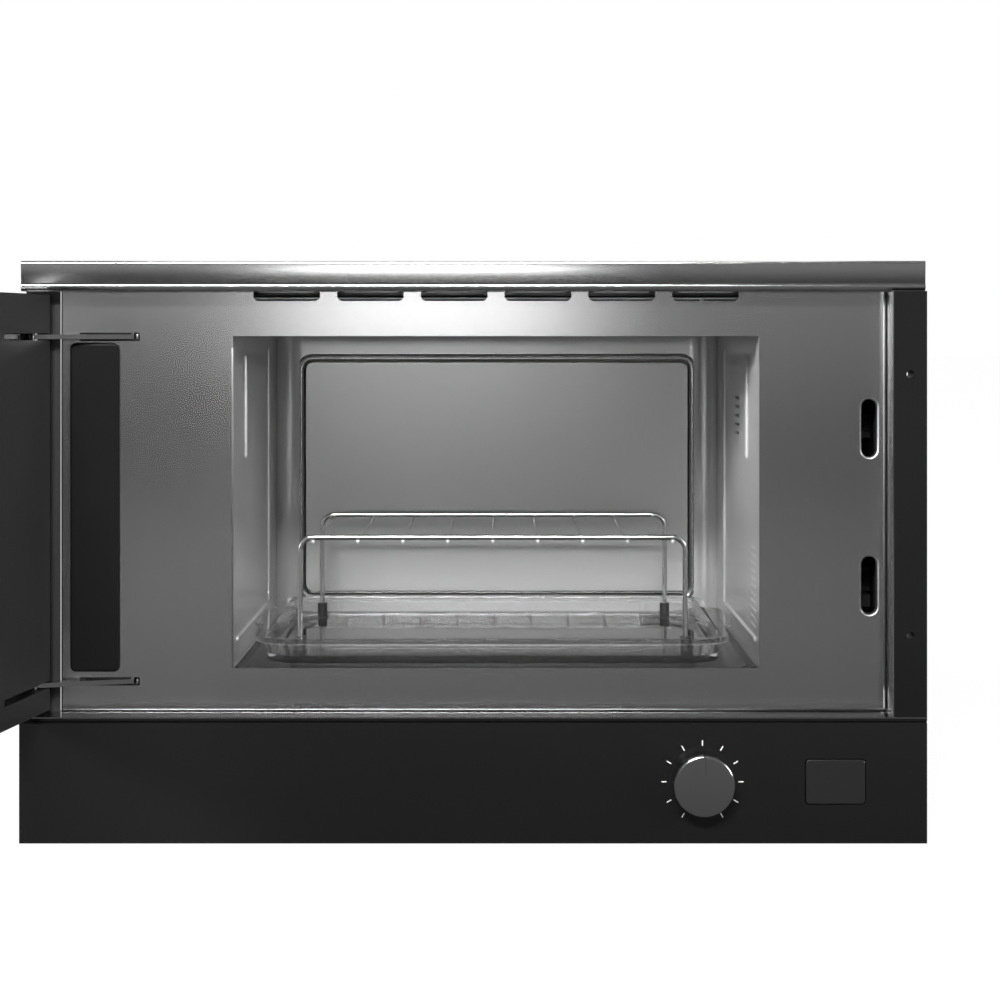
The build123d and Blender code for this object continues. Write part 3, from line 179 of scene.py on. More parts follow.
floor_links.new(floor_level.outputs[0], floor_glow.inputs["Strength"])
floor_links.new(floor_matt.outputs[0], floor_both.inputs[0])
floor_links.new(floor_glow.outputs[0], floor_both.inputs[1])
floor_links.new(floor_both.outputs[0], floor_out.inputs["Surface"])

bpy.ops.object.select_all(action="DESELECT")
bpy.ops.mesh.primitive_plane_add(size=60, location=(0, 0, 0))
floor = bpy.context.object
floor.name = "studio_floor"
floor.data.materials.append(floor_finish)
print("floor size:", floor.dimensions.x)

# %% [markdown]
# ## Finishes
# Every finish is built from nodes on the object's own coordinates, which are metres in the frame of
# the appliance. A finish starts from the same few steps: a place, a fine grain, a slow variation,
# and a small bump. One helper makes those, and each finish then changes what is special about it.

# %% A helper for grained finishes
def grained(name, colour, rough, metal=0.0, grain=900.0, stretch=(1, 1, 1), bump=0.1, height=0.00003,
            vary=0.06, rough_vary=0.06):
    """A finish with fine grain, a slow change of tone and roughness, and a small bump."""
    finish = bpy.data.materials.new(name)
    finish.use_nodes = True
    tree = finish.node_tree
    shader = tree.nodes["Principled BSDF"]
    shader.inputs["Metallic"].default_value = metal
    place = tree.nodes.new("ShaderNodeTexCoord")
    spread = tree.nodes.new("ShaderNodeMapping")
    spread.inputs["Scale"].default_value = stretch
    fine = tree.nodes.new("ShaderNodeTexNoise")
    fine.inputs["Scale"].default_value = grain
    fine.inputs["Detail"].default_value = 3.0
    slow = tree.nodes.new("ShaderNodeTexNoise")
    slow.inputs["Scale"].default_value = 14.0
    slow.inputs["Detail"].default_value = 2.0
    tone = tree.nodes.new("ShaderNodeMix")
    tone.data_type = "RGBA"
    tone.inputs["A"].default_value = [c * (1 - vary) for c in colour] + [1]
    tone.inputs["B"].default_value = [min(1, c * (1 + vary)) for c in colour] + [1]
    both = tree.nodes.new("ShaderNodeMath")
    both.operation = "ADD"
    level = tree.nodes.new("ShaderNodeMapRange")
    level.inputs["From Min"].default_value = 0.6
    level.inputs["From Max"].default_value = 1.4
    level.inputs["To Min"].default_value = rough - rough_vary
    level.inputs["To Max"].default_value = rough + rough_vary
    raised = tree.nodes.new("ShaderNodeBump")
    raised.inputs["Strength"].default_value = bump
    raised.inputs["Distance"].default_value = height
    link = tree.links.new
    link(place.outputs["Object"], spread.inputs["Vector"])
    link(spread.outputs["Vector"], fine.inputs["Vector"])
    link(place.outputs["Object"], slow.inputs["Vector"])
    link(fine.outputs[0], both.inputs[0])
    link(slow.outputs[0], both.inputs[1])
    link(both.outputs[0], level.inputs["Value"])
    link(level.outputs["Result"], shader.inputs["Roughness"])
    link(slow.outputs[0], tone.inputs["Factor"])
    link(tone.outputs["Result"], shader.inputs["Base Color"])
    link(fine.outputs[0], raised.inputs["Height"])
    link(raised.outputs["Normal"], shader.inputs["Normal"])
    return finish


def dulled(finish, level):
    """Takes part of the mirror shine from a finish that isn't metal."""
    finish.node_tree.nodes["Principled BSDF"].inputs["Specular IOR Level"].default_value = level


print("helpers ready:", grained.__doc__, dulled.__doc__)

# %% [markdown]
# ### Steel
# The front plate and the cavity are satin stainless steel. Its grain is so fine that it only shows
# as a soft blur of what it mirrors, so there is no bump and the roughness hardly varies. The trims
# are brushed lengthways, so their grain is stretched along X. Edges, hinge arms and the ledge are
# steel too, each with a gloss of its own, and their darker tones are painted shade that dims how
# bright they show.

# %% Steel finishes
finishes = {}
finishes["front_steel"] = grained("satin_front_steel", (0.42, 0.42, 0.42), 0.19, 1.0, grain=1400,
                                  bump=0.0, vary=0.03, rough_vary=0.002)
finishes["cavity_steel"] = grained("satin_cavity_steel", (0.56, 0.56, 0.56), 0.26, 0.6, grain=1200,
                                   bump=0.0, vary=0.03, rough_vary=0.01)
finishes["trim_steel"] = grained("brushed_trim_steel", (0.42, 0.42, 0.42), 0.15, 1.0, grain=350,
                                 stretch=(0.02, 1, 1), bump=0.0, vary=0.03, rough_vary=0.004)
# The hinge, mouth and ledge steels are darker than the plate's steel: painted shade that dims how
# bright they show.
finishes["hinge_steel"] = grained("plated_hinge_steel", (0.34, 0.34, 0.34), 0.20, 1.0, bump=0.0,
                                  rough_vary=0.02)
finishes["edge_steel"] = grained("rolled_edge_steel", (0.42, 0.42, 0.42), 0.36, 1.0)
finishes["mouth_steel"] = grained("rolled_mouth_steel", (0.28, 0.28, 0.28), 0.32, 1.0, bump=0.0,
                                  rough_vary=0.01)
finishes["ledge_steel"] = grained("polished_ledge_steel", (0.3, 0.3, 0.3), 0.08, 1.0, bump=0.0,
                                  rough_vary=0.01)
finishes["screw_steel"] = grained("plated_screw_steel", (0.6, 0.6, 0.6), 0.25, 1.0)
finishes["rack_chrome"] = grained("rack_chrome", (0.72, 0.72, 0.72), 0.16, 1.0, bump=0.0,
                                  rough_vary=0.04)
finishes["motor_metal"] = grained("motor_can_metal", (0.45, 0.45, 0.45), 0.42, 1.0)
finishes["aluminium"] = grained("plain_aluminium", (0.72, 0.72, 0.73), 0.38, 1.0)
print("steel finishes:", sorted(finishes))

# %% [markdown]
# ### Plastics, rubber and paint
# Moulded black plastic has a fine spark-eroded texture, which is a bump of small round grains. The
# rubber is duller, and the paint smoother.

# %% Plastic, rubber and paint finishes
finishes["black_plastic"] = grained("grained_black_plastic", (0.005, 0.005, 0.005), 0.45, grain=2200,
                                    bump=0.1, height=0.00003)
dulled(finishes["black_plastic"], 0.1)
finishes["black_gloss"] = grained("gloss_black_plastic", (0.012, 0.012, 0.012), 0.16, bump=0.03)
finishes["white_plastic"] = grained("moulded_white_plastic", (0.72, 0.72, 0.70), 0.45, grain=1800)
finishes["black_paint"] = grained("satin_black_paint", (0.018, 0.018, 0.018), 0.38, grain=1600)
finishes["rubber"] = grained("black_rubber", (0.016, 0.016, 0.016), 0.62, grain=1500, bump=0.3)
finishes["silicone"] = grained("dark_silicone", (0.022, 0.022, 0.022), 0.52, grain=1200)
finishes["circuit_board"] = grained("green_circuit_board", (0.03, 0.14, 0.05), 0.4, grain=600)
print("all grained finishes:", len(finishes))

# %% [markdown]
# ### Galvanised sheet and the door's screen
# Hot-dipped sheet has a spangle of zinc crystals about a centimetre across, each with its own tone
# and gloss, so cells drive both. The screen in the door is punched full of small round holes in
# staggered rows. They are far too many to model, so two grids of discs darken the paint instead.

# %% Galvanised sheet
zinc = grained("galvanised_sheet", (0.50, 0.51, 0.52), 0.40, 1.0, grain=1200, vary=0.02)
zinc_tree = zinc.node_tree
zinc_shader = zinc_tree.nodes["Principled BSDF"]
crystals = zinc_tree.nodes.new("ShaderNodeTexVoronoi")
crystals.inputs["Scale"].default_value = 95.0
crystal_place = zinc_tree.nodes.new("ShaderNodeTexCoord")
crystal_tone = zinc_tree.nodes.new("ShaderNodeSeparateColor")
crystal_colour = zinc_tree.nodes.new("ShaderNodeMix")
crystal_colour.data_type = "RGBA"
crystal_colour.inputs["A"].default_value = (0.44, 0.45, 0.46, 1)
crystal_colour.inputs["B"].default_value = (0.56, 0.57, 0.58, 1)
crystal_rough = zinc_tree.nodes.new("ShaderNodeMapRange")
crystal_rough.inputs["To Min"].default_value = 0.34
crystal_rough.inputs["To Max"].default_value = 0.46
zinc_tree.links.new(crystal_place.outputs["Object"], crystals.inputs["Vector"])
zinc_tree.links.new(crystals.outputs["Color"], crystal_tone.inputs["Color"])
zinc_tree.links.new(crystal_tone.outputs["Red"], crystal_colour.inputs["Factor"])
zinc_tree.links.new(crystal_tone.outputs["Green"], crystal_rough.inputs["Value"])
zinc_tree.links.new(crystal_colour.outputs["Result"], zinc_shader.inputs["Base Color"])
zinc_tree.links.new(crystal_rough.outputs["Result"], zinc_shader.inputs["Roughness"])
finishes["galvanised_sheet"] = zinc
print("crystals per metre:", crystals.inputs["Scale"].default_value)

# %% The punched screen
hole_pitch, hole_share, door_angle = 0.0024, 0.36, math.radians(100)
screen = grained("punched_screen_metal", (0.10, 0.10, 0.10), 0.42, 0.6, grain=1600)
screen_tree = screen.node_tree
screen_shader = screen_tree.nodes["Principled BSDF"]
screen_place = screen_tree.nodes.new("ShaderNodeTexCoord")
screen_turn = screen_tree.nodes.new("ShaderNodeMapping")
screen_turn.inputs["Rotation"].default_value = (0, 0, door_angle)
screen_tree.links.new(screen_place.outputs["Object"], screen_turn.inputs["Vector"])


def punched_row(shift):
    """The distance to the nearest hole of one grid, shifted by part of the pitch."""
    steps = screen_tree.nodes.new("ShaderNodeMapping")
    steps.inputs["Location"].default_value = (shift, 0, shift)
    steps.inputs["Scale"].default_value = (1 / hole_pitch, 0, 0.577 / hole_pitch)
    within = screen_tree.nodes.new("ShaderNodeVectorMath")
    within.operation = "FRACTION"
    centred = screen_tree.nodes.new("ShaderNodeVectorMath")
    centred.operation = "SUBTRACT"
    centred.inputs[1].default_value = (0.5, 0, 0.5)
    squared = screen_tree.nodes.new("ShaderNodeVectorMath")
    squared.operation = "MULTIPLY"
    squared.inputs[1].default_value = (1, 0, 1.732)
    reach = screen_tree.nodes.new("ShaderNodeVectorMath")
    reach.operation = "LENGTH"
    screen_tree.links.new(screen_turn.outputs["Vector"], steps.inputs["Vector"])
    screen_tree.links.new(steps.outputs["Vector"], within.inputs[0])
    screen_tree.links.new(within.outputs["Vector"], centred.inputs[0])
    screen_tree.links.new(centred.outputs["Vector"], squared.inputs[0])
    screen_tree.links.new(squared.outputs["Vector"], reach.inputs[0])
    return reach.outputs["Value"]


nearest = screen_tree.nodes.new("ShaderNodeMath")
nearest.operation = "MINIMUM"
screen_tree.links.new(punched_row(0.0), nearest.inputs[0])
screen_tree.links.new(punched_row(0.5), nearest.inputs[1])
solid_part = screen_tree.nodes.new("ShaderNodeMath")
solid_part.operation = "GREATER_THAN"
solid_part.inputs[1].default_value = hole_share
punched = screen_tree.nodes.new("ShaderNodeMix")
punched.data_type = "RGBA"
punched.inputs["A"].default_value = (0.002, 0.002, 0.002, 1)
punched.inputs["B"].default_value = (0.10, 0.10, 0.10, 1)
screen_tree.links.new(nearest.outputs[0], solid_part.inputs[0])
screen_tree.links.new(solid_part.outputs[0], punched.inputs["Factor"])
screen_tree.links.new(punched.outputs["Result"], screen_shader.inputs["Base Color"])
finishes["screen_metal"] = screen
print("holes per centimetre:", round(0.01 / hole_pitch, 1))

# %% [markdown]
# ### Glass
# The door and the panel are black glass, the cavity floor is dark glass ceramic, and the tray and
# the lamp are clear. Clear glass bends light, so those get transmission, and a shadow ray passes
# straight through them, so that they don't darken what they stand on. Black glass doesn't let any
# light through: it is a near-black base with a polished face. The glass ceramic is duller.

# %% Glass finishes
def clear_glass(name, colour, rough, solid_share, ior=1.47):
    """Clear moulded glass: part of the light passes straight on, the rest is bent and mirrored."""
    finish = grained(name, colour, rough, grain=60, bump=0.0, vary=0.01, rough_vary=0.005)
    shader = finish.node_tree.nodes["Principled BSDF"]
    shader.inputs["Transmission Weight"].default_value = 1.0
    shader.inputs["IOR"].default_value = ior
    shader.inputs["Alpha"].default_value = solid_share
    tree = finish.node_tree
    shade = tree.nodes.new("ShaderNodeBsdfTransparent")
    shade.inputs["Color"].default_value = colour + (1,)
    ray = tree.nodes.new("ShaderNodeLightPath")
    both = tree.nodes.new("ShaderNodeMixShader")
    tree.links.new(ray.outputs["Is Shadow Ray"], both.inputs[0])
    tree.links.new(shader.outputs[0], both.inputs[1])
    tree.links.new(shade.outputs[0], both.inputs[2])
    tree.links.new(both.outputs[0], tree.nodes["Material Output"].inputs["Surface"])
    return finish


finishes["tray_glass"] = clear_glass("pressed_tray_glass", (0.98, 0.98, 0.98), 0.01, 0.75, 1.45)
finishes["lamp_glass"] = clear_glass("lamp_glass", (0.98, 0.96, 0.92), 0.05, 0.5)
finishes["pane_glass"] = clear_glass("door_pane_glass", (0.35, 0.36, 0.36), 0.03, 0.7)
finishes["quartz"] = clear_glass("frosted_quartz", (0.95, 0.93, 0.90), 0.3, 0.8)
finishes["black_glass"] = grained("black_door_glass", (0.006, 0.006, 0.006), 0.05, bump=0.01,
                                  rough_vary=0.02)
finishes["glass_ceramic"] = grained("dark_glass_ceramic", (0.02, 0.02, 0.02), 0.18, grain=500, bump=0.0,
                                    rough_vary=0.02)
dulled(finishes["glass_ceramic"], 0.06)
print("finishes:", len(finishes))

# %% Dress every solid in the finish of its slot
for part in frame["record"]["subparts"]:
    solid = nodes[part["node"]]
    solid.data.materials.clear()
    solid.data.materials.append(finishes[part["material_slot"]])
nodes["panel_ledge"].data.materials[0] = finishes["ledge_steel"]

# %% [markdown]
# ## Working by hand in edit mode
# New pieces are modelled as by hand: a primitive is added, opened in edit mode, and its faces and
# edges are picked by where they are or which way they face. Four small helpers keep that short: they
# start a block, pick from it, apply a modifier, and give the piece its finish and body.

# %% Helpers for modelling
def start_block(name, low, high):
    """A block between two corners in metres, with its place in its mesh."""
    bpy.ops.object.select_all(action="DESELECT")
    middle = [(a + b) / 2 for a, b in zip(low, high)]
    spans = [b - a for a, b in zip(low, high)]
    bpy.ops.mesh.primitive_cube_add(size=1, location=middle, scale=spans)
    bpy.ops.object.transform_apply(location=True, rotation=True, scale=True)
    piece = bpy.context.object
    piece.name = name
    return piece


def pick(kind, test):
    """Picks faces or edges of the open mesh by their middle and their direction."""
    bpy.ops.mesh.select_mode(type=kind)
    bpy.ops.mesh.select_all(action="DESELECT")
    data = bpy.context.object.data
    mesh = bmesh.from_edit_mesh(data)
    picked = 0
    for item in (mesh.faces if kind == "FACE" else mesh.edges):
        ends = [v.co for v in item.verts]
        middle = sum(ends, Vector()) / len(ends)
        way = item.normal if kind == "FACE" else (ends[1] - ends[0]).normalized()
        if test(middle, way):
            item.select_set(True)
            picked += 1
    mesh.select_flush_mode()
    bmesh.update_edit_mesh(data)
    return picked


def use(piece, kind, name, **settings):
    """Adds one modifier to a piece, sets it and applies it."""
    bpy.ops.object.select_all(action="DESELECT")
    piece.select_set(True)
    bpy.context.view_layer.objects.active = piece
    step = piece.modifiers.new(name, kind)
    for key, value in settings.items():
        setattr(step, key, value)
    bpy.ops.object.modifier_apply(modifier=name)
    return piece


def finished(piece, finish, body, smooth=35):
    """Gives a piece its smooth shading, finish and body."""
    bpy.ops.object.select_all(action="DESELECT")
    piece.select_set(True)
    bpy.context.view_layer.objects.active = piece
    bpy.ops.object.shade_smooth_by_angle(angle=math.radians(smooth))
    piece.data.materials.clear()
    piece.data.materials.append(finish)
    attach(piece, body)
    print(piece.name, "faces", len(piece.data.polygons))
    return piece


mm = 0.001
print("one millimetre is", mm)

# %% [markdown]
# ## The glass tray
# The tray is pressed glass: a flat floor, sides that lean outwards, a thick rounded lip and a grip
# at each end. It could be lofted as one surface with a thickness, but pressed glass isn't even, so
# it is drawn up from a slab instead: extrude and widen for the sides, again for the lip, then inset
# and push down for the hollow. A grip is joined on at each end before all edges are rounded. Last,
# the shading of the wide faces is levelled, or the rounded edges would make the flat floor wavy.

# %% Draw the tray up from a slab
tray_low, tray_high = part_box("glass_tray")
tray_mid = (tray_low + tray_high) / 2
tray_floor_width, tray_floor_depth, tray_width, tray_lip = 0.310, 0.206, 0.324, 6.4 * mm
wall_top_width, hollow_floor_width = 0.3142, 0.3056
hollow_top_width = tray_width - 2 * tray_lip
tray = start_block("pressed_glass_tray",
                   (tray_mid.x - tray_floor_width / 2, tray_mid.y - tray_floor_depth / 2, tray_low.z),
                   (tray_mid.x + tray_floor_width / 2, tray_mid.y + tray_floor_depth / 2,
                    tray_low.z + 3 * mm))
bpy.ops.object.mode_set(mode="EDIT")
pick("EDGE", lambda middle, way: abs(way.z) > 0.9)
bpy.ops.mesh.bevel(offset=24 * mm, segments=12, affect="EDGES")


def top_face(middle, way):
    return way.z > 0.9 and abs(middle.x - tray_mid.x) < mm and abs(middle.y - tray_mid.y) < mm


def draw_up(rise, width_now, width_next):
    """Pulls the top face up and widens it evenly by the same step at both ends and sides."""
    bpy.ops.mesh.extrude_region_move(TRANSFORM_OT_translate={"value": (0, 0, rise)})
    step = width_next - width_now
    depth_now = width_now - (tray_floor_width - tray_floor_depth)
    bpy.ops.transform.resize(value=(width_next / width_now, (depth_now + step) / depth_now, 1),
                             center_override=tray_mid)


pick("FACE", top_face)
draw_up(10.5 * mm, tray_floor_width, wall_top_width)
draw_up(0.0, wall_top_width, tray_width)
draw_up(4.0 * mm, tray_width, tray_width)
bpy.ops.mesh.inset(thickness=tray_lip, depth=0)
draw_up(-12.4 * mm, hollow_top_width, hollow_floor_width)
bpy.ops.object.mode_set(mode="OBJECT")
print("tray box", [round(v, 4) for v in tray.dimensions])

# %% Join the two grips and round every edge
grip_length, grip_half, hollow_half = 33 * mm, 45 * mm, 60 * mm
for side in (-1, 1):
    reach = tray_high.x - tray_mid.x
    grip = start_block("tray_grip",
                       (tray_mid.x + side * reach - (grip_length if side > 0 else 0),
                        tray_mid.y - grip_half, tray_high.z - 3 * mm),
                       (tray_mid.x + side * reach + (grip_length if side < 0 else 0),
                        tray_mid.y + grip_half, tray_high.z))
    bpy.ops.object.mode_set(mode="EDIT")
    pick("EDGE", lambda middle, way: abs(way.z) > 0.9)
    bpy.ops.mesh.bevel(offset=14 * mm, segments=8, affect="EDGES")
    bpy.ops.object.mode_set(mode="OBJECT")
    hollow = start_block("grip_hollow",
                         (tray_mid.x - hollow_top_width / 2, tray_mid.y - hollow_half,
                          tray_high.z - 5 * mm),
                         (tray_mid.x + hollow_top_width / 2, tray_mid.y + hollow_half,
                          tray_high.z + 5 * mm))
    use(grip, "BOOLEAN", "keep_outside", object=hollow, operation="DIFFERENCE", solver="EXACT")
    bpy.data.objects.remove(hollow)
    use(tray, "BOOLEAN", "join_grip", object=grip, operation="UNION", solver="EXACT")
    bpy.data.objects.remove(grip)
use(tray, "BEVEL", "round_edges", width=1.3 * mm, segments=3, limit_method="ANGLE",
    angle_limit=math.radians(28))
finished(tray, finishes["tray_glass"], "tray")
use(tray, "WEIGHTED_NORMAL", "level_floor", weight=100, keep_sharp=True)
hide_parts("glass_tray")

# %% [markdown]
# ## Pressed sheet and copies
# The back wall's bead and the latch slots are pressed into thin sheet, with the same profile all
# the way round a rounded outline. A front face is inset again and again, each time a little deeper,
# so its rims draw that profile, and the open ring then gets a sheet's thickness. A second helper
# copies a finished piece with its own mesh.

# %% Helpers for pressed sheet and for copies
def rolled(name, low, high, corner, profile, thickness=0.3 * mm):
    """A sheet ring round a rounded outline: each step goes inwards and backwards from the last."""
    ring = start_block(name, low, high)
    bpy.ops.object.mode_set(mode="EDIT")
    pick("EDGE", lambda middle, way: abs(way.y) > 0.9)
    bpy.ops.mesh.bevel(offset=corner, segments=10, affect="EDGES")
    pick("FACE", lambda middle, way: way.y > -0.9)
    bpy.ops.mesh.delete(type="FACE")
    bpy.ops.mesh.select_all(action="SELECT")
    for inwards, backwards in profile:
        bpy.ops.mesh.inset(thickness=inwards, depth=-backwards)
    bpy.ops.mesh.delete(type="FACE")
    bpy.ops.object.mode_set(mode="OBJECT")
    return use(ring, "SOLIDIFY", "sheet_thickness", thickness=thickness, offset=-1)


def copied(piece, name, shift):
    """A copy of a piece with its own mesh, moved in its mesh."""
    twin = piece.copy()
    twin.data = piece.data.copy()
    twin.name = name
    bpy.context.scene.collection.objects.link(twin)
    twin.data.transform(Matrix.Translation(shift))
    return twin


print("helpers ready:", rolled.__doc__, copied.__doc__)

# %% [markdown]
# ## The bead in the back wall
# A rounded rectangle is pressed into the cavity's back wall to stiffen it. The solid has it as a
# plain square groove, which mirrors the room just as the flat wall does and so can't be seen. The
# pressed channel is round: its section is half an ellipse, and it mirrors the dim part of the room.
# It is rolled here from the outline inwards, in steps along that half ellipse.

# %% Roll the bead
shell_low, shell_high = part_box("cavity_shell")
sheet, back_relief = 1 * mm, 3 * mm
bead_width, bead_depth, bead_corner = 7.2 * mm, 2.7 * mm, 13 * mm
bead_margin, bead_foot = 14.4 * mm, 9.1 * mm
cavity_left, cavity_right = shell_low.x + sheet, shell_high.x - sheet
cavity_top, cavity_floor = shell_high.z - sheet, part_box("floor_plate")[1].z
cavity_back = shell_high.y - sheet - back_relief
bead_lap, bead_proud, bead_steps = 0.4 * mm, 0.12 * mm, 12
turns = [math.pi * i / bead_steps for i in range(bead_steps + 1)]
half_ellipse = [((math.cos(a) - math.cos(b)) * bead_width / 2, (math.sin(b) - math.sin(a)) * bead_depth)
                for a, b in zip(turns, turns[1:])]
bead = rolled("back_wall_bead",
              (cavity_left + bead_margin - bead_lap, cavity_back - bead_proud,
               cavity_floor + bead_foot - bead_lap),
              (cavity_right - bead_margin + bead_lap, cavity_back, cavity_top - bead_margin + bead_lap),
              bead_corner + bead_lap, [(bead_lap, 0)] + half_ellipse + [(bead_lap, 0)], 0.1 * mm)
finished(bead, finishes["front_steel"], "housing", 50)

# %% [markdown]
# ## The rolled edges of the front plate
# A folded steel edge is never sharp. The left edge of the cavity mouth and the fold at the plate's
# right end catch the light as fine lines, and the two latch slots are drawn inwards, so that their
# right sides shine. The slots are rolled like the bead, turning in by a quarter round, and the two
# upright edges are slim rounded strips.

# %% Round the mouth's left edge
mouth_bottom, edge_width, edge_proud = cavity_floor + 0.5 * mm, 1.1 * mm, 0.25 * mm
edge_round, edge_stop = 0.24 * mm, 8 * mm
mouth_edge = start_block("mouth_edge", (cavity_left - edge_width * 0.8, -edge_proud, mouth_bottom),
                         (cavity_left + edge_width * 0.2, 1.2 * mm, cavity_top - edge_stop))
use(mouth_edge, "BEVEL", "round_edge", width=edge_round, segments=3)
finished(mouth_edge, finishes["mouth_steel"], "housing", 60)

# %% The plate's fold and the latch slots
plate_right, ledge_top, bar_foot = (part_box("front_plate")[1].x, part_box("panel_ledge")[1].z,
                                    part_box("top_trim_bar")[0].z)
fold_inset, fold_width, fold_clear = 2.1 * mm, 1.2 * mm, 2 * mm
fold_line = start_block("plate_fold_line",
                        (plate_right - fold_inset, -edge_proud, ledge_top + fold_clear),
                        (plate_right - fold_inset + fold_width, 0.5 * mm, bar_foot - fold_clear))
use(fold_line, "BEVEL", "round_edge", width=edge_round, segments=3)
finished(fold_line, finishes["mouth_steel"], "housing", 60)

slot_width, slot_height, slot_round, slot_steps = 13 * mm, 41 * mm, 1.3 * mm, 5
slot_x, slot_drop, slot_half_spacing = plate_right - 11.3 * mm, 3.1 * mm, 52.25 * mm
slot_heights = [(cavity_top + mouth_bottom) / 2 - slot_drop + side * slot_half_spacing
                for side in (-1, 1)]
turns = [math.pi / 2 * i / slot_steps for i in range(slot_steps + 1)]
quarter_round = [((math.sin(b) - math.sin(a)) * slot_round, (math.cos(a) - math.cos(b)) * slot_round)
                 for a, b in zip(turns, turns[1:])]
slot_edge = rolled("lower_slot_edge",
                   (slot_x - slot_width / 2, -0.03 * mm, slot_heights[0] - slot_height / 2),
                   (slot_x + slot_width / 2, 0, slot_heights[0] + slot_height / 2),
                   slot_width / 2 - 0.05 * mm, quarter_round + [(0.01 * mm, 4 * mm)])
slot_twin = copied(slot_edge, "upper_slot_edge", (0, 0, slot_heights[1] - slot_heights[0]))
for edge in (slot_edge, slot_twin):
    finished(edge, finishes["edge_steel"], "housing", 50)

# %% [markdown]
# ## The rounded bar across the top
# The bar is drawn sheet. Its face leans forward a little towards the top, so that it mirrors the
# dim floor, and a rounded lip runs along its foot, where the light from above draws a bright line.
# It is one block: its lower front edge is pushed back, then the top edge is rounded, and the lip,
# a long cylinder, is joined on.

# %% Draw the bar
bar_low, bar_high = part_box("top_trim_bar")
lip_radius, bar_lean = 3 * mm, 1.2 * mm
face_foot, lip_middle = bar_low.y + 1.4 * mm, bar_low.y + lip_radius
bar = start_block("drawn_trim_bar", (bar_low.x, face_foot - bar_lean, bar_low.z),
                  (bar_high.x, 0, bar_high.z))


def front_edge(middle, way):
    return abs(way.x) > 0.9 and middle.y < bar_low.y / 2


bpy.ops.object.mode_set(mode="EDIT")
pick("EDGE", lambda middle, way: front_edge(middle, way) and middle.z < bar_high.z - mm)
bpy.ops.transform.translate(value=(0, bar_lean, 0))
pick("EDGE", lambda middle, way: front_edge(middle, way) and middle.z > bar_high.z - mm)
bpy.ops.mesh.bevel(offset=2 * mm, segments=6, affect="EDGES")
bpy.ops.object.mode_set(mode="OBJECT")
bpy.ops.object.select_all(action="DESELECT")
bpy.ops.mesh.primitive_cylinder_add(vertices=64, radius=lip_radius, depth=bar_high.x - bar_low.x,
                                    location=(0, lip_middle, bar_low.z + lip_radius),
                                    rotation=(0, math.pi / 2, 0))
bpy.ops.object.transform_apply(location=True, rotation=True, scale=True)
bar_lip = bpy.context.object
use(bar, "BOOLEAN", "join_lip", object=bar_lip, operation="UNION", solver="EXACT")
bpy.data.objects.remove(bar_lip)
finished(bar, finishes["trim_steel"], "housing")
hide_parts("top_trim_bar")

# %% [markdown]
# ## The lip and the screw behind the vents
# Through the vents shows the bar's own fixing lip, a thin folded strip that ends just short of the
# vent's corners. Further back a steel strip in the duct turns the warm air towards the vents, and
# behind the last vent sits the head of the screw that holds the duct. A lip is made once and
# copied to the other vents.

# %% The lips
vent_count, vent_gap, vent_side_gap = 6, 11.1 * mm, 13.45 * mm
vent_pitch = (cavity_right - cavity_left - 2 * vent_side_gap + vent_gap) / vent_count
vent_width = vent_pitch - vent_gap
first_vent = (cavity_left + cavity_right) / 2 - (vent_count - 1) / 2 * vent_pitch
lip_half, lip_front, lip_back = vent_width / 2 - 4 * mm, 0.2 * mm, 0.9 * mm
lip_below, lip_above = 0.75 * mm, 0.6 * mm
lip = start_block("vent_lip_1", (first_vent - lip_half, lip_front, bar_low.z - lip_below),
                  (first_vent + lip_half, lip_back, bar_low.z + lip_above))
use(lip, "BEVEL", "round_lip", width=0.25 * mm, segments=3)
lips = [lip] + [copied(lip, f"vent_lip_{i + 1}", (i * vent_pitch, 0, 0)) for i in range(1, vent_count)]
for piece in lips:
    finished(piece, finishes["aluminium"], "housing")
print("lips:", len(lips))

# %% The deflector in the duct
duct_low, duct_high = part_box("exhaust_duct")
duct_wall, deflector_place, deflector_thickness = 1.5 * mm, 13 * mm, 0.8 * mm
deflector = start_block("duct_deflector",
                        (first_vent - vent_width, deflector_place, duct_low.z + duct_wall),
                        (first_vent + (vent_count - 0.5) * vent_pitch,
                         deflector_place + deflector_thickness, duct_high.z - duct_wall))
use(deflector, "BEVEL", "round_deflector", width=0.3 * mm, segments=2)
finished(deflector, finishes["edge_steel"], "housing")

# %% [markdown]
# ## The hinge slots
# Each hinge arm comes out of a slot that is a little taller and longer than the arm. That gap lies
# in shadow, so dark strips of painted shade stand above, below and beyond the arm in it, and a small
# piece near the slot's right end stands for the arm's own end, which catches the light. What lies
# behind the plate can't be seen.

# %% Line one slot and copy it to the other
arm_low, arm_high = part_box("hinge_leaf_upper")
arm_middle, arm_half, slot_half = (arm_low.z + arm_high.z) / 2, 1.5 * mm, 2.8 * mm
arm_end, slot_start, slot_end = arm_high.x, arm_high.x - 36 * mm, arm_high.x + 4 * mm
strip_gap = 0.05 * mm
strip_front, strip_back = 0.1 * mm, 0.9 * mm
# The black strips are painted shade for the shadowed gap round the arm; the tip is bare steel.
slot_pieces = [
    ("slot_gap_shade_top", (slot_start, arm_middle + arm_half + strip_gap),
     (arm_end - 2 * mm, arm_middle + slot_half), "black_plastic"),
    ("slot_gap_shade_foot", (slot_start, arm_middle - slot_half),
     (slot_end, arm_middle - arm_half - strip_gap), "black_plastic"),
    ("hinge_arm_tip", (arm_end + 1.5 * mm, arm_middle - arm_half),
     (arm_end + 3 * mm, arm_middle + arm_half), "mouth_steel"),
    ("slot_gap_shade_end", (arm_end + 3.1 * mm, arm_middle - slot_half),
     (slot_end, arm_middle + slot_half), "black_plastic"),
]
lower_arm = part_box("hinge_leaf_lower")
drop = (lower_arm[0].z + lower_arm[1].z) / 2 - arm_middle
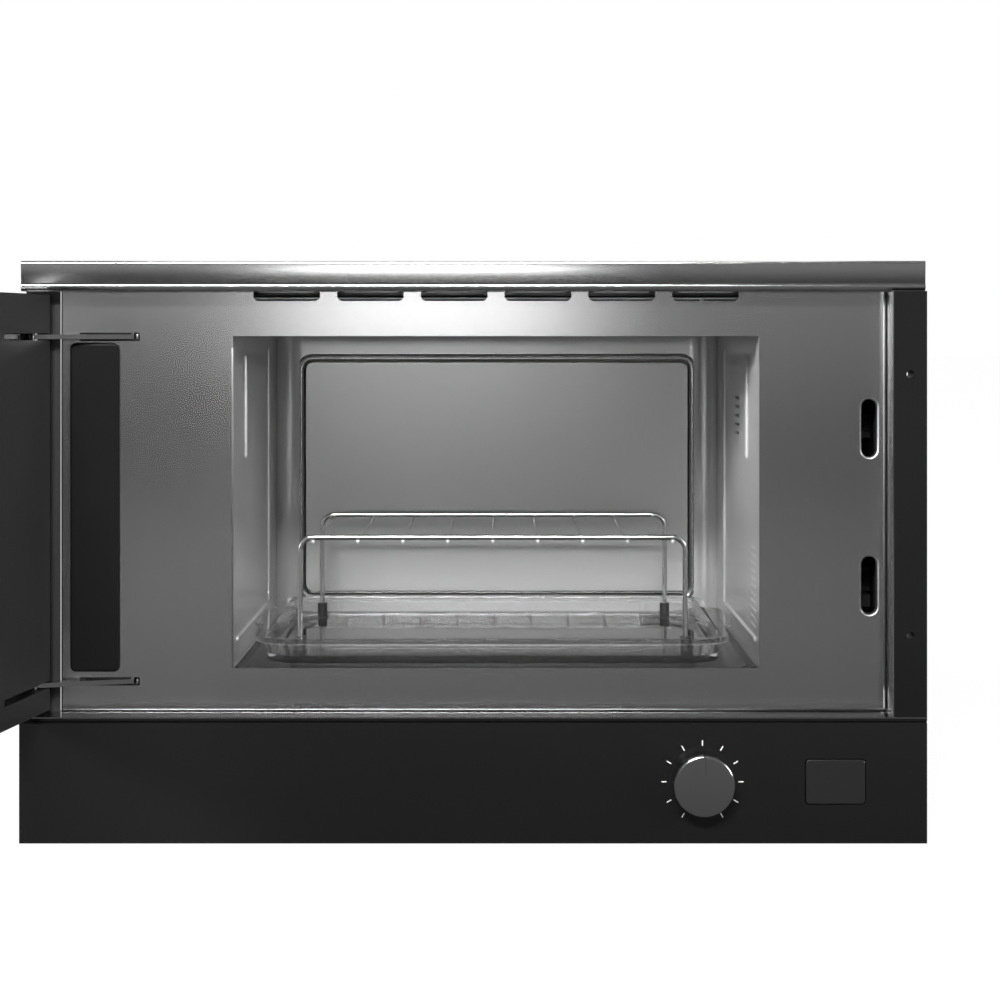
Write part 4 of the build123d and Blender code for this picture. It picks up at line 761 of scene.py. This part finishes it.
for name, low, high, finish in slot_pieces:
    piece = start_block(f"{name}_upper", (low[0], strip_front, low[1]), (high[0], strip_back, high[1]))
    use(piece, "BEVEL", "round_strip", width=0.15 * mm, segments=2)
    for part in (piece, copied(piece, f"{name}_lower", (0, 0, drop))):
        finished(part, finishes[finish], "housing")

# %% [markdown]
# ## Screws
# The door's frame is held by four small screws, and the duct by four on its top and one behind the
# last vent. A screw head is a low dome with a cross in it: a short cylinder with a rounded rim, cut
# by two crossing bars. It is modelled facing the front, turned where it stands another way, and
# copied to each of its places. The duct's top also gets three pressed ribs, as thin sheet has.

# %% One screw head
def screw_head(name, radius, height):
    """A low round head with a cross recess, standing on the origin and facing -Y."""
    bpy.ops.object.select_all(action="DESELECT")
    bpy.ops.mesh.primitive_cylinder_add(vertices=32, radius=radius, depth=height,
                                        location=(0, -height / 2, 0), rotation=(math.pi / 2, 0, 0))
    bpy.ops.object.transform_apply(location=True, rotation=True, scale=True)
    head = bpy.context.object
    head.name = name
    use(head, "BEVEL", "round_rim", width=height * 0.45, segments=4, limit_method="ANGLE",
        angle_limit=math.radians(60))
    for wide, high in ((0.62, 0.14), (0.14, 0.62)):
        bar = start_block("cross_bar", (-radius * wide, -2 * height, -radius * high),
                          (radius * wide, -height * 0.35, radius * high))
        use(head, "BOOLEAN", "cut_cross", object=bar, operation="DIFFERENCE", solver="EXACT")
        bpy.data.objects.remove(bar)
    return head


vent_screw_x, vent_screw_back, vent_screw_drop = 0.1519, 2.2 * mm, 4.4 * mm
duct_screw = screw_head("duct_screw", 2.1 * mm, 1.1 * mm)
duct_screw.data.transform(Matrix.Translation((vent_screw_x, vent_screw_back,
                                              bar_low.z - vent_screw_drop)))
finished(duct_screw, finishes["screw_steel"], "housing")

# %% Four screws on the duct's top
duct_inset, front_inset = 9 * mm, 30 * mm
screw_radius, head_height = 3.2 * mm, 1.4 * mm
upright_screw = screw_head("upright_screw", screw_radius, head_height)
upright_screw.data.transform(Matrix.Rotation(-math.pi / 2, 4, "X"))
duct_corners = [(x, y, duct_high.z) for x in (duct_low.x + duct_inset, duct_high.x - duct_inset)
                for y in (duct_low.y + front_inset, duct_high.y - duct_inset)]
for i, place in enumerate(duct_corners):
    finished(copied(upright_screw, f"duct_screw_{i + 1}", place), finishes["screw_steel"],
             "housing")
bpy.data.objects.remove(upright_screw)

# %% Three ribs on the duct's top
rib_inset, duct_rib_width, duct_rib_count = 40 * mm, 10 * mm, 3
duct_rib_sunk, duct_rib_block = 0.2 * mm, 1.2 * mm
duct_rib = start_block("duct_rib_1",
                       (duct_low.x + rib_inset, duct_low.y + rib_inset, duct_high.z - duct_rib_sunk),
                       (duct_low.x + rib_inset + duct_rib_width, duct_high.y - rib_inset,
                        duct_high.z + duct_rib_block))
bpy.ops.object.mode_set(mode="EDIT")
pick("EDGE", lambda middle, way: abs(way.z) > 0.9)
bpy.ops.mesh.bevel(offset=duct_rib_width * 0.49, segments=8, affect="EDGES")
pick("FACE", lambda middle, way: way.z > 0.9)
bpy.ops.mesh.inset(thickness=1.2 * mm, depth=0.8 * mm)
bpy.ops.object.mode_set(mode="OBJECT")
rib_pitch = (duct_high.x - duct_low.x - 2 * rib_inset - duct_rib_width) / (duct_rib_count - 1)
for rib in [duct_rib] + [copied(duct_rib, f"duct_rib_{i + 1}", (i * rib_pitch, 0, 0))
                         for i in range(1, duct_rib_count)]:
    finished(rib, finishes["black_plastic"], "housing", 50)

# %% Four screws in the back of the open door
pins_low, pins_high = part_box("hinge_pins")
door_pin = (pins_low + pins_high) / 2
door_opened = (Matrix.Translation(door_pin) @ Matrix.Rotation(-door_angle, 4, "Z")
               @ Matrix.Translation(-door_pin))
frame_face = -4 * mm
plain_screw = screw_head("plain_screw", screw_radius, head_height)
plain_screw.data.transform(Matrix.Rotation(math.pi, 4, "Z"))
screw_sides, screw_heights = (-0.205, 0.226), (0.100, 0.346)
door_screw_places = [(x, frame_face, z) for x in screw_sides for z in screw_heights]
for i, place in enumerate(door_screw_places):
    screw = copied(plain_screw, f"door_screw_{i + 1}", place)
    screw.data.transform(door_opened)
    finished(screw, finishes["screw_steel"], "door")
bpy.data.objects.remove(plain_screw)

# %% [markdown]
# ## The ends of the cross wires
# The nine cross wires of the rack are cropped in front of the front hoop. Their ends are ground to
# small bright domes, which show as a row of dots. One dome is a squashed ball, copied along the row.

# %% Dot the wire ends
wires_low, wires_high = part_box("rack_wires")
cross_count, wire_radius, dome_radius = 9, 1.0 * mm, 1.3 * mm
cross_span = wires_high.x - wires_low.x - 2 * wire_radius
bpy.ops.object.select_all(action="DESELECT")
bpy.ops.mesh.primitive_uv_sphere_add(segments=20, ring_count=12, radius=dome_radius, scale=(1, 0.5, 1),
                                     location=(wires_low.x + wire_radius, wires_low.y + 0.5 * mm,
                                               wires_high.z - wire_radius))
bpy.ops.object.transform_apply(location=True, rotation=True, scale=True)
dome = bpy.context.object
dome.name = "wire_end_1"
domes = [dome] + [copied(dome, f"wire_end_{i + 1}", (i * cross_span / (cross_count - 1), 0, 0))
                  for i in range(1, cross_count)]
for piece in domes:
    finished(piece, finishes["aluminium"], "rack")

# %% [markdown]
# ## The dial's marks
# Fine white marks are printed on the glass round the knob. Each is a slim bar of ink, a few
# hundredths of a millimetre thick, with its ends rounded by a bevel. One is made above the knob,
# and each copy is turned about the knob's axis in its mesh.

# %% Print the marks
knob_low, knob_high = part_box("control_knob")
glass_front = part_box("control_glass")[0].y
knob_middle = Vector(((knob_low.x + knob_high.x) / 2, glass_front, (knob_low.z + knob_high.z) / 2))
knob_reach = (knob_high.z - knob_low.z) / 2
mark_near, mark_far = knob_reach + 3.5 * mm, knob_reach + 7 * mm
mark_wide, mark_thick = 0.7 * mm, 0.04 * mm
plain_mark = start_block("plain_mark",
                         knob_middle + Vector((-mark_wide / 2, -mark_thick, mark_near)),
                         knob_middle + Vector((mark_wide / 2, mark_thick, mark_far)))
bpy.ops.object.mode_set(mode="EDIT")
pick("EDGE", lambda middle, way: abs(way.y) > 0.9)
bpy.ops.mesh.bevel(offset=mark_wide * 0.45, segments=4, affect="EDGES")
bpy.ops.object.mode_set(mode="OBJECT")
mark_count, mark_step = 11, math.radians(30)
for i in range(mark_count):
    turn = Matrix.Rotation((i - (mark_count - 1) / 2) * mark_step, 4, "Y")
    mark = copied(plain_mark, f"dial_mark_{i + 1}", (0, 0, 0))
    mark.data.transform(Matrix.Translation(knob_middle) @ turn @ Matrix.Translation(-knob_middle))
    finished(mark, finishes["white_plastic"], "housing")
bpy.data.objects.remove(plain_mark)
print("marks:", mark_count)

# %% [markdown]
# ## The pressed ribs of the casing
# The casing's two large sides are stiffened by long pressed ribs with round ends. Each is a flat
# block whose ends are rounded by a bevel of its corner edges, and whose outer face is then inset and
# lifted, so that it rises from the sheet with a slope. One is made and copied to the other places.

# %% Press the ribs
casing_low, casing_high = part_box("outer_casing")
rib_length, rib_width, rib_rise = 190 * mm, 12 * mm, 1.4 * mm
rib_front, rib_heights = 60 * mm, (0.055, 0.335)


def casing_rib(name, side, height):
    """One rib on a side of the casing, its outer face lifted from the sheet."""
    face = casing_high.x if side > 0 else casing_low.x
    near, far = sorted((face - side * 0.2 * mm, face + side * 0.1 * mm))
    rib = start_block(name, (near, rib_front, height - rib_width / 2),
                      (far, rib_front + rib_length, height + rib_width / 2))
    bpy.ops.object.mode_set(mode="EDIT")
    pick("EDGE", lambda middle, way: abs(way.x) > 0.9)
    bpy.ops.mesh.bevel(offset=rib_width * 0.49, segments=8, affect="EDGES")
    pick("FACE", lambda middle, way: way.x * side > 0.9)
    bpy.ops.mesh.inset(thickness=0.9 * mm, depth=rib_rise * 0.4)
    bpy.ops.mesh.inset(thickness=1.2 * mm, depth=rib_rise * 0.4)
    bpy.ops.mesh.inset(thickness=1.2 * mm, depth=rib_rise * 0.1)
    bpy.ops.object.mode_set(mode="OBJECT")
    return rib


for side, word in ((-1, "left"), (1, "right")):
    lower = casing_rib(f"casing_rib_{word}_lower", side, rib_heights[0])
    upper = copied(lower, f"casing_rib_{word}_upper", (0, 0, rib_heights[1] - rib_heights[0]))
    for rib in (lower, upper):
        finished(rib, finishes["galvanised_sheet"], "housing", 50)

# %% Set the view transform
bpy.context.scene.view_settings.view_transform = "Standard"
